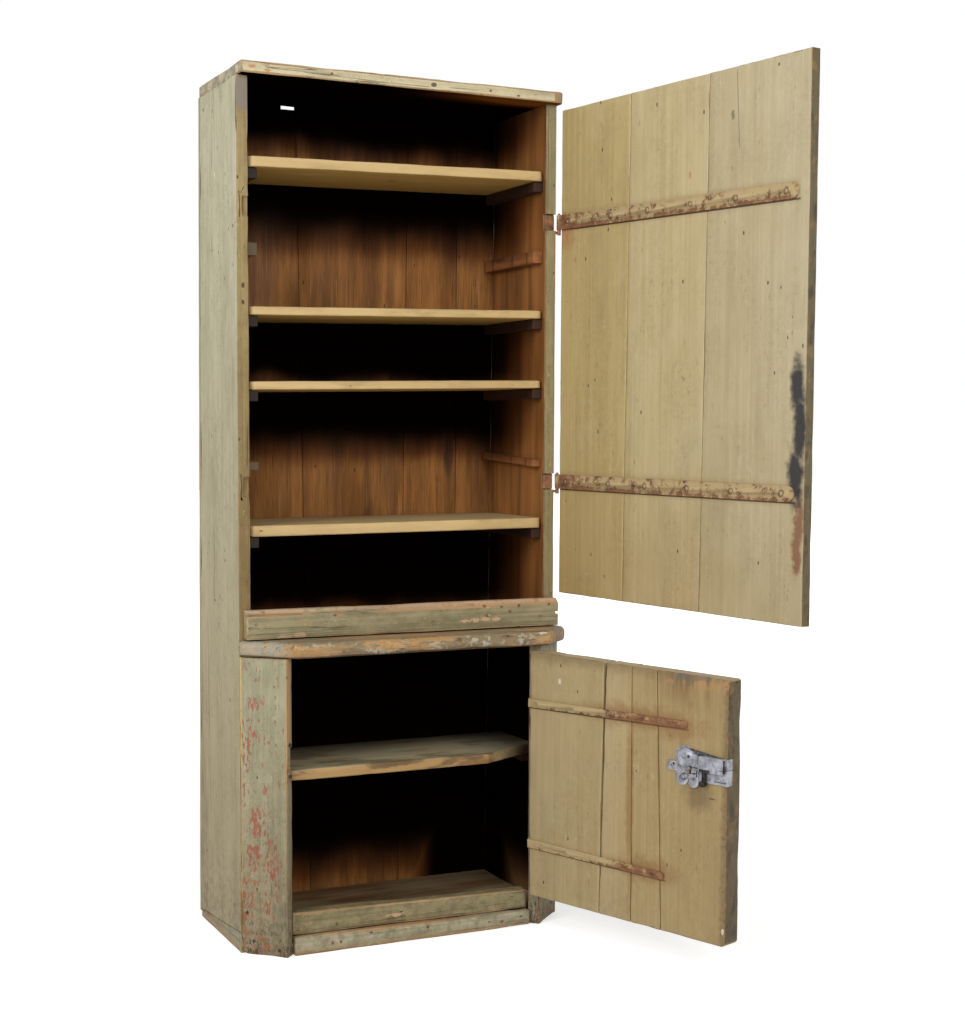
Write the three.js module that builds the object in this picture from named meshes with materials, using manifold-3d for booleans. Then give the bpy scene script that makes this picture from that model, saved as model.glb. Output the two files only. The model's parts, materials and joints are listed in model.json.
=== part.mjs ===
// Jelly cupboard of old painted pine boards, standing with both plank doors open
// Lengths are millimetres. X runs to the right, Y to the back and Z up.
import * as THREE from "three";
import { mergeVertices } from "three/addons/utils/BufferGeometryUtils.js";
import Module from "manifold-3d";

const wasm = await Module();
wasm.setup();

// Overall sizes of the carcass
const height = 2008;
const width = 800;
const sideThickness = 28;
const sideDepthHead = 285;
const sideDepthFoot = 330;
const backThickness = 14;

// Small distances that many pieces share
const seat = 0.3;
const overrun = 10;
const weldTolerance = 0.001;

// Counts of steps on round shapes
const arcSteps = 6;
const roundSteps = 20;

// Top board
const topThickness = 28;
const topFrontOverhang = 22;
const topBackOverhang = 14;
const topLeftInset = 6;
const topRightOverhang = 13;
const topCornerRadius = 24;

// Tapered skid strips under the side boards
const skidFrontHeight = 47;
const skidBackHeight = 17;

// Back boards, with their seams as shares of the width from the left, and a chip at the first seam's head
const backSeamFootShares = [0.357, 0.655, 0.853];
const backSeamHeadShares = [0.296, 0.667, 0.834];
const backSeamGap = 0.8;
const backFootClearance = 12;
const backHeadClearance = 0.5;
const backChipWidth = 36;
const backChipDepth = 10;

// Canted stiles of the lower stage
const stileWidth = 117;
const leftStileThickness = 28;
const rightStileThickness = 32;
const stileCant = THREE.MathUtils.degToRad(43);
const rightStileProud = 13;

// Waist board, which closes the lower stage, and the rail that stands on it
const waistBoardTop = 722;
const waistBoardThickness = 37;
const waistNosingRadius = 11;
const waistFrontOverhang = 22;
const waistLeftOverhang = 3;
const waistRightCantOverhang = 27.6;
const waistRightOverhang = 17;
const waistRailGap = 2;
const waistRailTop = 791;
const waistRailThickness = 28;
const waistRailBevel = 12;
const waistRailLeftInset = 10;
const waistRailRightOverhang = 1;
const waistRailBiteDepth = 8;
const waistRailBiteHeight = 5;
const waistRailBiteRise = 29;

// Bottom rail, plinth and floors
const plinthLeftTop = 43;
const plinthRightTop = 37;
const plinthThickness = 22;
const plinthInset = 6;
const bottomRailThickness = 36;
const bottomRailInset = 21.5;
const bottomRailLeftTop = 96.5;
const bottomRailRightTop = 84.5;
const upperFloorThickness = 22;
const lowerFloorThickness = 20;
const lowerFloorTop = 34;
const floorStileGap = 2;

// Lower shelf
const lowerShelfTop = 424;
const lowerShelfThickness = 25;
const lowerShelfFront = 45;
const lowerShelfDepth = 268;
const lowerShelfEndGap = 1;
const lowerShelfLeftCantWidth = 74;
const lowerShelfLeftCantDepth = 78;
const lowerShelfRightCantWidth = 165;
const lowerShelfRightCantDepth = 96;

// Four loose shelves of the upper stage, each a little higher at its right end
// Their tops are shares of the clear height from the upper floor to the top board
const shelfNames = ["shelf_1", "shelf_2", "shelf_3", "shelf_4"];
const shelfTopShares = [0.8681, 0.6038, 0.4706, 0.2083];
const shelfRises = { shelf_1: 16, shelf_2: 15.5, shelf_3: 15, shelf_4: 6.5 };
const shelfThicknesses = { shelf_1: 24, shelf_2: 20, shelf_3: 20, shelf_4: 26 };
const shelfFrontInset = 5;
const shelfEndGap = 3;
const shelfCornerRadius = 16;
const shelfBackGap = 3;

// Cleats on the side boards
const cleatWidth = 25;
const cleatHeight = 24;
const cleatFrontInset = 14;
const cleatBackGap = 6;
const spareCleatShelves = { upper: ["shelf_2", "shelf_1"], lower: ["shelf_4", "shelf_3"] };
const spareCleatTopShares = [0.4526, 0.4364];
const spareCleatLeftDrops = { upper: 16, lower: 4 };
const spareCleatHeights = { upper: 29, lower: 18 };
const spareCleatTilts = { upper: 0, lower: THREE.MathUtils.degToRad(3) };
const lowerCleatFrontInset = 62;

// Upper door, hung on the outer corner of the right side board
const upperDoor = {
  openAngle: THREE.MathUtils.degToRad(101),
  axisOutset: 9,
  edgeOffset: 8,
  faceOffset: -1,
  thickness: 23,
  width: 804,
  footGap: 11.5,
  footRise: -9.5,
  headGap: 13,
  headRise: 7,
  seamGap: 1.2,
  seamHeadShares: [0.311, 0.631],
  seamFootShares: [0.293, 0.615],
};

// Lower door, set in between the square edges of the canted stiles
const lowerDoor = {
  openAngle: THREE.MathUtils.degToRad(110),
  axisStandOff: 15.4,
  axisEdgeShare: 0.415,
  edgeOffset: 12.4,
  faceOffset: 17.4,
  thickness: 45,
  width: 583.5,
  footGap: 38.7,
  footRise: -2.7,
  headGap: 11,
  headRise: -8.2,
  seamGap: 1.4,
  openSeamGap: 6,
  seamHeadShares: [0.406, 0.536, 0.66],
  seamFootShares: [0.378, 0.541, 0.692],
};

// Strap hinges, two to a door, with heights and lengths as shares of their door's
const pairNames = ["upper", "lower"];
const upperStraps = {
  heightShares: [0.7716, 0.2342],
  lengthShares: [0.965, 0.965],
  drops: { upper: 8, lower: 6.5 },
  rootHeight: 35,
  tipHeight: 34,
  thickness: 3.7,
  eyeRadius: 6,
  nailShares: [0.035, 0.24, 0.405, 0.586, 0.765, 0.955],
};
const lowerStraps = {
  heightShares: [0.7896, 0.2129],
  lengthShares: [0.8125, 0.7095],
  drops: { upper: -6, lower: 2 },
  rootHeight: 20,
  tipHeight: 16,
  thickness: 3,
  eyeRadius: 5.5,
  nailShares: [0.06, 0.3, 0.52, 0.75, 0.95],
};
const nailHeadRadius = 4.5;
const nailHeadHeight = 2;
const nailHeadTopShare = 0.6;

// Pintles, on which the strap eyes turn
const pintleRadius = 3;
const pintleClearance = 0.3;
const pintleTopRise = 4;
const collarHeight = 12;
const collarGap = 0.5;
const upperCollarRadius = 4.6;
const lowerCollarRadius = 5.5;
const shankSize = 6;
const shankLength = 22;
const upperShankDepth = 4.5;

// Notches in the front edges of the side boards, which clear the upper straps
const notchDepth = 12;
const notchClearance = 2;
const tipNotchDepth = 4.5;
const tipNotchWidth = 14;
const tipNotchClearance = 5;

// Rim lock at the free edge of the lower door
const lock = {
  heightShare: 0.6455,
  plateThickness: 2.5,
  plateLength: 94,
  plateHeight: 59,
  flangeThickness: 1.5,
  flangeDepth: 14,
  lobeRadius: 27,
  lobeInset: 114,
  lobeRise: 19,
  earLength: 24,
  earHeight: 21,
  earInset: 163,
  earDrop: 3,
  earHoleRadius: 2.5,
  footLobeRadius: 18,
  footLobeInset: 122,
  footLobeDrop: 25,
  ringOuterRadius: 9,
  ringInnerRadius: 5,
  ringHeight: 5,
  coverRadius: 24,
  coverHeight: 7,
  coverTopShare: 0.72,
  coverSlotLength: 8,
  coverSlotWidth: 2.5,
};
const lockCase = {
  length: 66,
  inset: 3,
  height: 34,
  foot: -4,
  thickness: 13,
  wall: 2,
  slotLength: 24,
};
const lockBolt = {
  length: 62,
  inset: 1,
  height: 14,
  rise: 5,
  thickness: 6,
  throw: 12,
  stemWidth: 8,
  knobInset: 57,
  knobDrop: 30,
  knobRadius: 7,
  knobHeight: 9,
};
const lockLever = {
  width: 26,
  length: 38,
  thickness: 3,
  pivotInset: 88,
  pivotDrop: 12,
  pivotRadius: 3,
  pivotHeight: 5,
  headMargin: 6,
  cutRadius: 3.5,
  cutDropShare: 0.36,
};

// Keeper for the lock bolt, cut in the edge of the left stile between two screws
const keeperRise = 17;
const keeperHeight = 58;
const keeperDepth = 14;
const keeperScrewHeadRadius = 5;
const keeperScrewHeadHeight = 3.5;
const keeperScrewShankRadius = 2;
const keeperScrewShankLength = 16;
const keeperScrewMargin = 7;

// Finishes, one colour, roughness and metalness each
const finishes = {
  paint: { color: 0xaea98a, roughness: 0.8, metalness: 0 },
  wornPaint: { color: 0x9d9579, roughness: 0.85, metalness: 0 },
  doorPaint: { color: 0xb0a077, roughness: 0.75, metalness: 0 },
  barePine: { color: 0xc2a06c, roughness: 0.75, metalness: 0 },
  stainedPine: { color: 0x5c3a1c, roughness: 0.85, metalness: 0 },
  rustyIron: { color: 0x7a5a44, roughness: 0.85, metalness: 0.4 },
  silveredIron: { color: 0xb9bac4, roughness: 0.5, metalness: 0.6 },
  blackIron: { color: 0x1c1b1a, roughness: 0.55, metalness: 0.5 },
};

// Places worked out from the sizes above
const halfWidth = width / 2;
const innerHalf = halfWidth - sideThickness;
const topUnderside = height - topThickness;
const backLean = Math.atan2(sideDepthFoot - sideDepthHead, topUnderside);
const waistUnderside = waistBoardTop - waistBoardThickness;
const stileAlong = new THREE.Vector2(Math.cos(stileCant), Math.sin(stileCant));
const upperDoorFoot = waistRailTop + upperDoor.footGap;
const upperDoorHead = topUnderside - upperDoor.headGap;
const lowerDoorFoot = plinthLeftTop + lowerDoor.footGap;
const lowerDoorHead = waistUnderside - lowerDoor.headGap;
const upperStrapHeights = spread(pairNames, upperStraps.heightShares, upperDoorFoot, upperDoorHead);
const lowerStrapHeights = spread(pairNames, lowerStraps.heightShares, lowerDoorFoot, lowerDoorHead);
const upperStrapLengths = spread(pairNames, upperStraps.lengthShares, 0, upperDoor.width);
const lowerStrapLengths = spread(pairNames, lowerStraps.lengthShares, 0, lowerDoor.width);
const lockHeight = lowerDoorFoot + lock.heightShare * (lowerDoorHead - lowerDoorFoot);
const keeperTop = lockHeight + keeperRise;
const shelfTops = spread(shelfNames, shelfTopShares, waistBoardTop, topUnderside);

// Named places between a low and a high value, from a table of shares
function spread(names, shares, low, high) {
  return Object.fromEntries(names.map((name, index) => [name, low + shares[index] * (high - low)]));
}

// Depth of the side boards' back edges at a height
function sideBackAt(z) {
  return sideDepthFoot + ((sideDepthHead - sideDepthFoot) * z) / topUnderside;
}

// Outline with an optional radius on each corner
function shapeOf(corners) {
  const shape = new THREE.Shape();
  corners.forEach(([x, y, radius = 0], index) => {
    const before = corners[(index + corners.length - 1) % corners.length];
    const after = corners[(index + 1) % corners.length];
    const corner = new THREE.Vector2(x, y);
    const toBefore = new THREE.Vector2(before[0] - x, before[1] - y).setLength(radius);
    const toAfter = new THREE.Vector2(after[0] - x, after[1] - y).setLength(radius);
    const start = corner.clone().add(toBefore);
    const end = corner.clone().add(toAfter);
    if (index === 0) shape.moveTo(start.x, start.y);
    else shape.lineTo(start.x, start.y);
    if (radius > 0) shape.quadraticCurveTo(x, y, end.x, end.y);
  });
  shape.closePath();
  return shape;
}

function extruded(shape, depth) {
  const options = { depth, bevelEnabled: false, curveSegments: arcSteps };
  return new THREE.ExtrudeGeometry(shape, options);
}

// Slab whose outline is seen from above, in X and Y
function planSlab(corners, bottom, top) {
  return extruded(shapeOf(corners), top - bottom).translate(0, 0, bottom);
}

// Slab whose outline is seen from the front, in X and Z
function frontSlab(corners, front, back) {
  const slab = extruded(shapeOf(corners), back - front);
  return slab.rotateX(Math.PI / 2).translate(0, back, 0);
}

// Slab whose outline is seen from the side, in Y and Z
function sideSlab(corners, left, right) {
  const slab = extruded(shapeOf(corners), right - left);
  const turn = new THREE.Matrix4().makeBasis(
    new THREE.Vector3(0, 1, 0),
    new THREE.Vector3(0, 0, 1),
    new THREE.Vector3(1, 0, 0),
  );
  return slab.applyMatrix4(turn).translate(left, 0, 0);
}

// Box between two corners
function boxBetween(low, high) {
  const box = new THREE.BoxGeometry(high[0] - low[0], high[1] - low[1], high[2] - low[2]);
  return box.translate((low[0] + high[0]) / 2, (low[1] + high[1]) / 2, (low[2] + high[2]) / 2);
}

// Round bar that stands upright on the point x, y
function uprightRound(radius, bottom, top, x, y) {
  const round = new THREE.CylinderGeometry(radius, radius, top - bottom, roundSteps);
  return round.rotateX(Math.PI / 2).translate(x, y, (bottom + top) / 2);
}

// Round bar that points along Y, from front to back
function deepRound(radius, front, back, x, z) {
  const round = new THREE.CylinderGeometry(radius, radius, back - front, roundSteps);
  return round.translate(x, (front + back) / 2, z);
}

// Low round head whose base lies in the plane Y = 0 and whose top points to the back
function domedHead(radius, rise) {
  const profile = [
    new THREE.Vector2(0, 0),
    new THREE.Vector2(radius, 0),
    new THREE.Vector2(radius * nailHeadTopShare, rise),
    new THREE.Vector2(0, rise),
  ];
  return new THREE.LatheGeometry(profile, roundSteps);
}

function solidOf(geometry) {
  const bare = geometry.clone();
  bare.deleteAttribute("normal");
  bare.deleteAttribute("uv");
  const merged = mergeVertices(bare, weldTolerance);
  const triVerts = new Uint32Array(merged.index.array);
  const vertProperties = merged.attributes.position.array;
  return new wasm.Manifold(new wasm.Mesh({ numProp: 3, vertProperties, triVerts }));
}

function geometryOf(solid) {
  const mesh = solid.getMesh();
  const geometry = new THREE.BufferGeometry();
  const places = new Float32Array(mesh.vertProperties);
  geometry.setAttribute("position", new THREE.BufferAttribute(places, 3));
  geometry.setIndex(new THREE.BufferAttribute(new Uint32Array(mesh.triVerts), 1));
  const faceted = geometry.toNonIndexed();
  faceted.computeVertexNormals();
  return faceted;
}

function joined(geometries) {
  return geometryOf(geometries.map(solidOf).reduce((sum, solid) => sum.add(solid)));
}

function cut(geometry, cutters) {
  return geometryOf(cutters.map(solidOf).reduce((rest, solid) => rest.subtract(solid), solidOf(geometry)));
}

function piece(name, geometry, finish) {
  const mesh = new THREE.Mesh(geometry, new THREE.MeshStandardMaterial(finish));
  mesh.name = name;
  return mesh;
}

// The plan corners of a canted stile, with side -1 at the left and 1 at the right
function stileCorners(side) {
  const proud = side > 0 ? rightStileProud : 0;
  const thickness = side > 0 ? rightStileThickness : leftStileThickness;
  const outer = new THREE.Vector2(halfWidth + proud, -seat);
  const along = new THREE.Vector2(-stileAlong.x, -stileAlong.y);
  const inward = new THREE.Vector2(-stileAlong.y, stileAlong.x);
  const front = outer.clone().addScaledVector(along, stileWidth);
  const inner = front.clone().addScaledVector(inward, thickness);
  const back = inner.clone().addScaledVector(along, (inner.y + seat) / stileAlong.y);
  const mirror = (point) => new THREE.Vector2(point.x * side, point.y);
  return { outer: mirror(outer), front: mirror(front), inner: mirror(inner), back: mirror(back) };
}

const leftStile = stileCorners(-1);
const rightStile = stileCorners(1);
const stageFront = leftStile.front.y;
const railFront = stageFront + bottomRailInset;
const plinthFront = stageFront + plinthInset;
const plinthCentre = plinthFront + plinthThickness / 2;

// Upper hinge axis, in the plane of the side boards' front edges
const upperAxis = new THREE.Vector2(halfWidth + upperDoor.axisOutset, 0);

// Lower hinge axis, standing off the square edge of the right stile
const stileEdge = rightStile.front.clone().sub(rightStile.inner);
const edgeNormal = new THREE.Vector2(-stileAlong.x, -stileAlong.y);
const lowerAxis = rightStile.inner
  .clone()
  .addScaledVector(stileEdge, lowerDoor.axisEdgeShare)
  .addScaledVector(edgeNormal, lowerDoor.axisStandOff);

// Span of the collar under a strap eye
function collarSpan(straps, heights, key) {
  const top = heights[key] - straps.rootHeight / 2 - collarGap;
  return { bottom: top - collarHeight, top };
}

function sideBoard(side) {
  const outline = [
    [0, skidFrontHeight],
    [sideBackAt(skidBackHeight), skidBackHeight],
    [sideDepthHead, topUnderside - seat],
    [0, topUnderside - seat],
  ];
  if (side < 0) {
    const board = sideSlab(outline, -halfWidth, -innerHalf);
    return piece("left_side_board", cut(board, strapTipNotches()), finishes.paint);
  }
  const board = sideSlab(outline, innerHalf, halfWidth);
  return piece("right_side_board", cut(board, strapRootNotches()), finishes.paint);
}

// Shallow hollows worn by the strap tips in the inner edge of the left side board
function strapTipNotches() {
  return pairNames.map((key) => {
    const middle = upperStrapHeights[key] - upperStraps.drops[key];
    const reach = upperStraps.tipHeight / 2 + tipNotchClearance;
    const low = [-innerHalf - tipNotchWidth, -overrun, middle - reach];
    const high = [-innerHalf + overrun, tipNotchDepth, middle + reach];
    return boxBetween(low, high);
  });
}

// Notches across the front edge of the right side board, and the holes of the pintle shanks
function strapRootNotches() {
  return pairNames.flatMap((key) => {
    const middle = upperStrapHeights[key];
    const reach = upperStraps.rootHeight / 2 + notchClearance;
    const low = [innerHalf - overrun, -overrun, middle - reach];
    const high = [halfWidth + overrun, notchDepth, middle + reach];
    const hole = upperShank(key, seat, overrun);
    return [boxBetween(low, high), hole];
  });
}

// Square shank of an upper pintle, or its hole when the clearance is more than zero
function upperShank(key, clearance, outward) {
  const span = collarSpan(upperStraps, upperStrapHeights, key);
  const middle = (span.bottom + span.top) / 2;
  const half = shankSize / 2 + clearance;
  const low = [halfWidth - shankLength - clearance, upperShankDepth - half, middle - half];
  const high = [upperAxis.x + outward, upperShankDepth + half, middle + half];
  return boxBetween(low, high);
}

// Square shank of a lower pintle, driven straight into the stile's edge
function lowerShank(key, clearance) {
  const span = collarSpan(lowerStraps, lowerStrapHeights, key);
  const middle = (span.bottom + span.top) / 2;
  const half = shankSize / 2 + clearance;
  const low = [0, -half, middle - half];
  const high = [lowerDoor.axisStandOff + shankLength + clearance, half, middle + half];
  const angle = Math.atan2(-edgeNormal.y, -edgeNormal.x);
  return boxBetween(low, high).rotateZ(angle).translate(lowerAxis.x, lowerAxis.y, 0);
}

function skidStrip(side) {
  const outline = [
    [0, 0],
    [sideBackAt(0), 0],
    [sideBackAt(skidBackHeight), skidBackHeight - seat],
    [0, skidFrontHeight - seat],
  ];
  const left = side < 0 ? -halfWidth : innerHalf;
  const name = side < 0 ? "left_skid_strip" : "right_skid_strip";
  return piece(name, sideSlab(outline, left, left + sideThickness), finishes.wornPaint);
}

function topBoard() {
  const back = sideDepthHead + backThickness + topBackOverhang;
  const right = halfWidth + topRightOverhang;
  const outline = [
    [-halfWidth + topLeftInset, -topFrontOverhang],
    [right, -topFrontOverhang, topCornerRadius],
    [right, back],
    [-halfWidth + topLeftInset, back],
  ];
  return piece("top_board", planSlab(outline, topUnderside, height), finishes.paint);
}

// Back boards nailed on the sloping back edges of the side boards
function backBoards() {
  const group = new THREE.Group();
  group.position.set(0, sideDepthFoot + seat, 0);
  group.rotation.x = backLean;
  const foot = backFootClearance;
  const head = topUnderside - backHeadClearance;
  const feet = [0, ...backSeamFootShares, 1].map((share) => -halfWidth + share * width);
  const heads = [0, ...backSeamHeadShares, 1].map((share) => -halfWidth + share * width);
  const last = feet.length - 2;
  for (let index = 0; index <= last; index += 1) {
    const leftGap = index === 0 ? 0 : backSeamGap / 2;
    const rightGap = index === last ? 0 : backSeamGap / 2;
    const outline = [
      [feet[index] + leftGap, foot],
      [feet[index + 1] - rightGap, foot],
      [heads[index + 1] - rightGap, head],
      [heads[index] + leftGap, head],
    ];
    let board = frontSlab(outline, 0, backThickness);
    if (index === 0) {
      const low = [heads[1] - backChipWidth, -overrun, head - backChipDepth];
      const high = [heads[1] + overrun, backThickness + overrun, head + overrun];
      board = cut(board, [boxBetween(low, high)]);
    }
    group.add(piece(`back_board_${index + 1}`, board, finishes.stainedPine));
  }
  return group;
}

function waistRail() {
  const bottom = waistBoardTop + waistRailGap;
  const front = -waistRailThickness;
  const outline = [
    [-seat, bottom],
    [front, bottom],
    [front, waistRailTop - waistRailBevel],
    [front + waistRailBevel, waistRailTop],
    [-seat, waistRailTop],
  ];
  const right = halfWidth + waistRailRightOverhang;
  const rail = sideSlab(outline, -halfWidth + waistRailLeftInset, right);
  const bite = boxBetween(
    [right - waistRailBiteDepth, front - overrun, bottom + waistRailBiteRise],
    [right + overrun, overrun, bottom + waistRailBiteRise + waistRailBiteHeight],
  );
  return piece("waist_rail", cut(rail, [bite]), finishes.wornPaint);
}

// Where a line beside a stile's face, moved outward, crosses a depth
function cantCrossing(stile, overhang, depth) {
  const side = Math.sign(stile.outer.x);
  const shift = overhang / stileAlong.y;
  const run = ((depth - stile.outer.y) * stileAlong.x) / stileAlong.y;
  return stile.outer.x + side * (shift + run);
}

function waistBoard() {
  const front = stageFront - waistFrontOverhang;
  const leftEnd = -halfWidth - waistLeftOverhang;
  const rightEnd = halfWidth + waistRightOverhang;
  const leftCorner = cantCrossing(leftStile, waistLeftOverhang, front);
  const rightCorner = cantCrossing(rightStile, waistRightCantOverhang, front);
  const cantRun = ((rightEnd - rightCorner) * stileAlong.y) / stileAlong.x;
  const nosing = waistNosingRadius;
  const outline = [
    [leftEnd + nosing, overrun + nosing],
    [leftEnd + nosing, -nosing],
    [leftCorner + nosing * stileAlong.y, front + nosing],
    [rightCorner - nosing * stileAlong.y, front + nosing],
    [rightEnd - nosing, front + cantRun + nosing * stileAlong.y],
    [rightEnd - nosing, overrun + nosing],
  ];
  const slab = new THREE.ExtrudeGeometry(shapeOf(outline), {
    depth: waistBoardThickness - nosing * 2,
    bevelEnabled: true,
    bevelThickness: nosing,
    bevelSize: nosing,
    bevelSegments: arcSteps / 2,
    curveSegments: arcSteps,
  }).translate(0, 0, waistUnderside + nosing);
  const behind = boxBetween(
    [leftEnd - overrun, -seat, waistUnderside - overrun],
    [rightEnd + overrun, nosing * 2 + overrun * 2, waistBoardTop + overrun],
  );
  return piece("waist_board", cut(slab, [behind]), finishes.barePine);
}

function upperFloor() {
  const back = sideBackAt(waistBoardTop);
  const low = [-innerHalf + seat, 0, waistBoardTop - upperFloorThickness];
  const high = [innerHalf - seat, back, waistBoardTop];
  return piece("upper_floor_board", boxBetween(low, high), finishes.stainedPine);
}

function cantedStile(side) {
  const stile = side < 0 ? leftStile : rightStile;
  const outline = [stile.outer, stile.front, stile.inner, stile.back].map((point) => [point.x, point.y]);
  const slab = planSlab(outline, 0, waistUnderside - seat);
  if (side > 0) {
    const holes = pairNames.map((key) => lowerShank(key, seat));
    return piece("right_canted_stile", cut(slab, holes), finishes.paint);
  }
  const notch = boxBetween(
    [stile.inner.x - keeperDepth, stile.inner.y - keeperDepth / 2, keeperTop - keeperHeight],
    [stile.inner.x + overrun, stile.inner.y + keeperDepth * 2, keeperTop],
  );
  const holes = keeperScrewHeights().map((z) => keeperScrewShape(keeperScrewShankRadius + seat, seat, z));
  return piece("left_canted_stile", cut(slab, [notch, ...holes]), finishes.paint);
}

function keeperScrewHeights() {
  const bottom = keeperTop - keeperHeight;
  return [keeperTop + keeperScrewMargin, bottom - keeperScrewMargin];
}

// Shank of a keeper screw, or its hole when longer by an allowance, in the left stile's edge
function keeperScrewShape(radius, allowance, z) {
  const length = keeperScrewShankLength + allowance;
  const shank = new THREE.CylinderGeometry(radius, radius, length + overrun, roundSteps);
  shank.translate(0, (overrun - length) / 2, 0);
  return placedOnKeeperEdge(shank, z);
}

// Turns a piece that stands along Y so that it stands on the left stile's square edge
function placedOnKeeperEdge(geometry, z) {
  const middle = leftStile.front.clone().add(leftStile.inner).multiplyScalar(1 / 2);
  const angle = -Math.PI / 2 - stileCant;
  return geometry.rotateZ(angle).translate(middle.x, middle.y, z);
}

function keeperScrews() {
  const names = ["keeper_screw_upper", "keeper_screw_lower"];
  return keeperScrewHeights().map((z, index) => {
    const head = domedHead(keeperScrewHeadRadius, keeperScrewHeadHeight).translate(0, seat, 0);
    const length = keeperScrewShankLength;
    const shank = new THREE.CylinderGeometry(
      keeperScrewShankRadius,
      keeperScrewShankRadius,
      length + keeperScrewHeadHeight,
      roundSteps,
    ).translate(0, (keeperScrewHeadHeight - length) / 2, 0);
    return piece(names[index], placedOnKeeperEdge(joined([head, shank]), z), finishes.blackIron);
  });
}

function bottomRail() {
  const left = leftStile.inner.x + seat;
  const right = rightStile.inner.x - seat;
  const outline = [
    [left, plinthLeftTop + seat],
    [right, plinthRightTop + seat],
    [right, bottomRailRightTop],
    [left, bottomRailLeftTop],
  ];
  const rail = frontSlab(outline, railFront, railFront + bottomRailThickness);
  return piece("bottom_rail", rail, finishes.paint);
}

function plinthBoard() {
  const left = leftStile.inner.x + seat;
  const right = rightStile.inner.x - seat;
  const outline = [
    [left, 0],
    [right, 0],
    [right, plinthRightTop],
    [left, plinthLeftTop],
  ];
  const board = frontSlab(outline, plinthFront, plinthFront + plinthThickness);
  return piece("plinth_board", board, finishes.wornPaint);
}

function lowerFloor() {
  const front = railFront + bottomRailThickness + seat;
  const back = sideBackAt(lowerFloorTop);
  const run = ((-front - seat) * stileAlong.x) / stileAlong.y;
  const left = leftStile.back.x + run + floorStileGap;
  const right = rightStile.back.x - run - floorStileGap;
  const outline = [
    [left, front],
    [right, front],
    [right, floorStileGap],
    [innerHalf - seat, floorStileGap],
    [innerHalf - seat, back],
    [-innerHalf + seat, back],
    [-innerHalf + seat, floorStileGap],
    [left, floorStileGap],
  ];
  const board = planSlab(outline, lowerFloorTop - lowerFloorThickness, lowerFloorTop);
  return piece("lower_floor_board", board, finishes.stainedPine);
}

function lowerShelf() {
  const end = innerHalf - lowerShelfEndGap;
  const front = -lowerShelfFront;
  const outline = [
    [-end + lowerShelfLeftCantWidth, front],
    [end - lowerShelfRightCantWidth, front],
    [end, front + lowerShelfRightCantDepth],
    [end, front + lowerShelfDepth],
    [-end, front + lowerShelfDepth],
    [-end, front + lowerShelfLeftCantDepth],
  ];
  const shelf = planSlab(outline, lowerShelfTop - lowerShelfThickness, lowerShelfTop);
  return piece("lower_shelf", shelf, finishes.barePine);
}

function upperShelf(name) {
  const end = innerHalf - shelfEndGap;
  const rise = shelfRises[name];
  const highest = shelfTops[name] + rise / 2;
  const back = sideBackAt(highest) - shelfBackGap;
  const outline = [
    [-end, shelfFrontInset, shelfCornerRadius],
    [end, shelfFrontInset, shelfCornerRadius],
    [end, back],
    [-end, back],
  ];
  const shelf = piece(name, planSlab(outline, -shelfThicknesses[name], 0), finishes.barePine);
  shelf.position.z = shelfTops[name];
  shelf.rotation.y = -Math.atan2(rise, end * 2);
  return shelf;
}

// Height of a shelf's underside where the foremost corner of its cleat holds it
function shelfSeatAt(name, side) {
  const x = side < 0 ? -innerHalf + seat : innerHalf - cleatWidth;
  const slope = shelfRises[name] / ((innerHalf - shelfEndGap) * 2);
  return shelfTops[name] - shelfThicknesses[name] + x * slope;
}

function cleat(name, side, top, tall, frontInset, tilt) {
  const back = sideBackAt(top) - cleatBackGap;
  const left = side < 0 ? -innerHalf + seat : innerHalf - cleatWidth - seat;
  const bar = boxBetween([left, frontInset, -tall], [left + cleatWidth, back, 0]);
  const mesh = piece(name, bar, finishes.barePine);
  mesh.position.z = top;
  mesh.rotation.x = tilt;
  return mesh;
}

function cleats() {
  const sides = { left: -1, right: 1 };
  return Object.entries(sides).flatMap(([label, side]) => {
    const used = shelfNames.map((shelf) => {
      const top = shelfSeatAt(shelf, side) - seat * 2;
      return cleat(`cleat_${label}_${shelf}`, side, top, cleatHeight, cleatFrontInset, 0);
    });
    const spare = pairNames.map((key, index) => {
      const [below, above] = spareCleatShelves[key].map((shelf) => shelfTops[shelf]);
      const drop = side < 0 ? spareCleatLeftDrops[key] : 0;
      const top = below + spareCleatTopShares[index] * (above - below) - drop;
      const name = `cleat_${label}_spare_${key}`;
      return cleat(name, side, top, spareCleatHeights[key], cleatFrontInset, spareCleatTilts[key]);
    });
    const lowerTop = lowerShelfTop - lowerShelfThickness - seat;
    const name = `cleat_${label}_lower_shelf`;
    const lower = cleat(name, side, lowerTop, cleatHeight, lowerCleatFrontInset, 0);
    return [...used, ...spare, lower];
  });
}

// Pintle: upright pin, collar under the strap eye, and a square shank driven into the wood
function pintle(name, straps, heights, key, axis, collarRadius, shank) {
  const span = collarSpan(straps, heights, key);
  const top = heights[key] + straps.rootHeight / 2 + pintleTopRise;
  const pin = uprightRound(pintleRadius, span.bottom, top, axis.x, axis.y);
  const collar = uprightRound(collarRadius, span.bottom, span.top, axis.x, axis.y);
  return piece(name, joined([pin, collar, shank]), finishes.rustyIron);
}

function upperPintle(key) {
  const name = `upper_door_pintle_${key}`;
  const shank = upperShank(key, 0, 0);
  return pintle(name, upperStraps, upperStrapHeights, key, upperAxis, upperCollarRadius, shank);
}

function lowerPintle(key) {
  const name = `lower_door_pintle_${key}`;
  const shank = lowerShank(key, 0);
  return pintle(name, lowerStraps, lowerStrapHeights, key, lowerAxis, lowerCollarRadius, shank);
}

// Point on a door, by its share of the width from the hinge edge, in the closed door's frame
function doorX(door, share) {
  return -door.edgeOffset - share * door.width;
}

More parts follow.
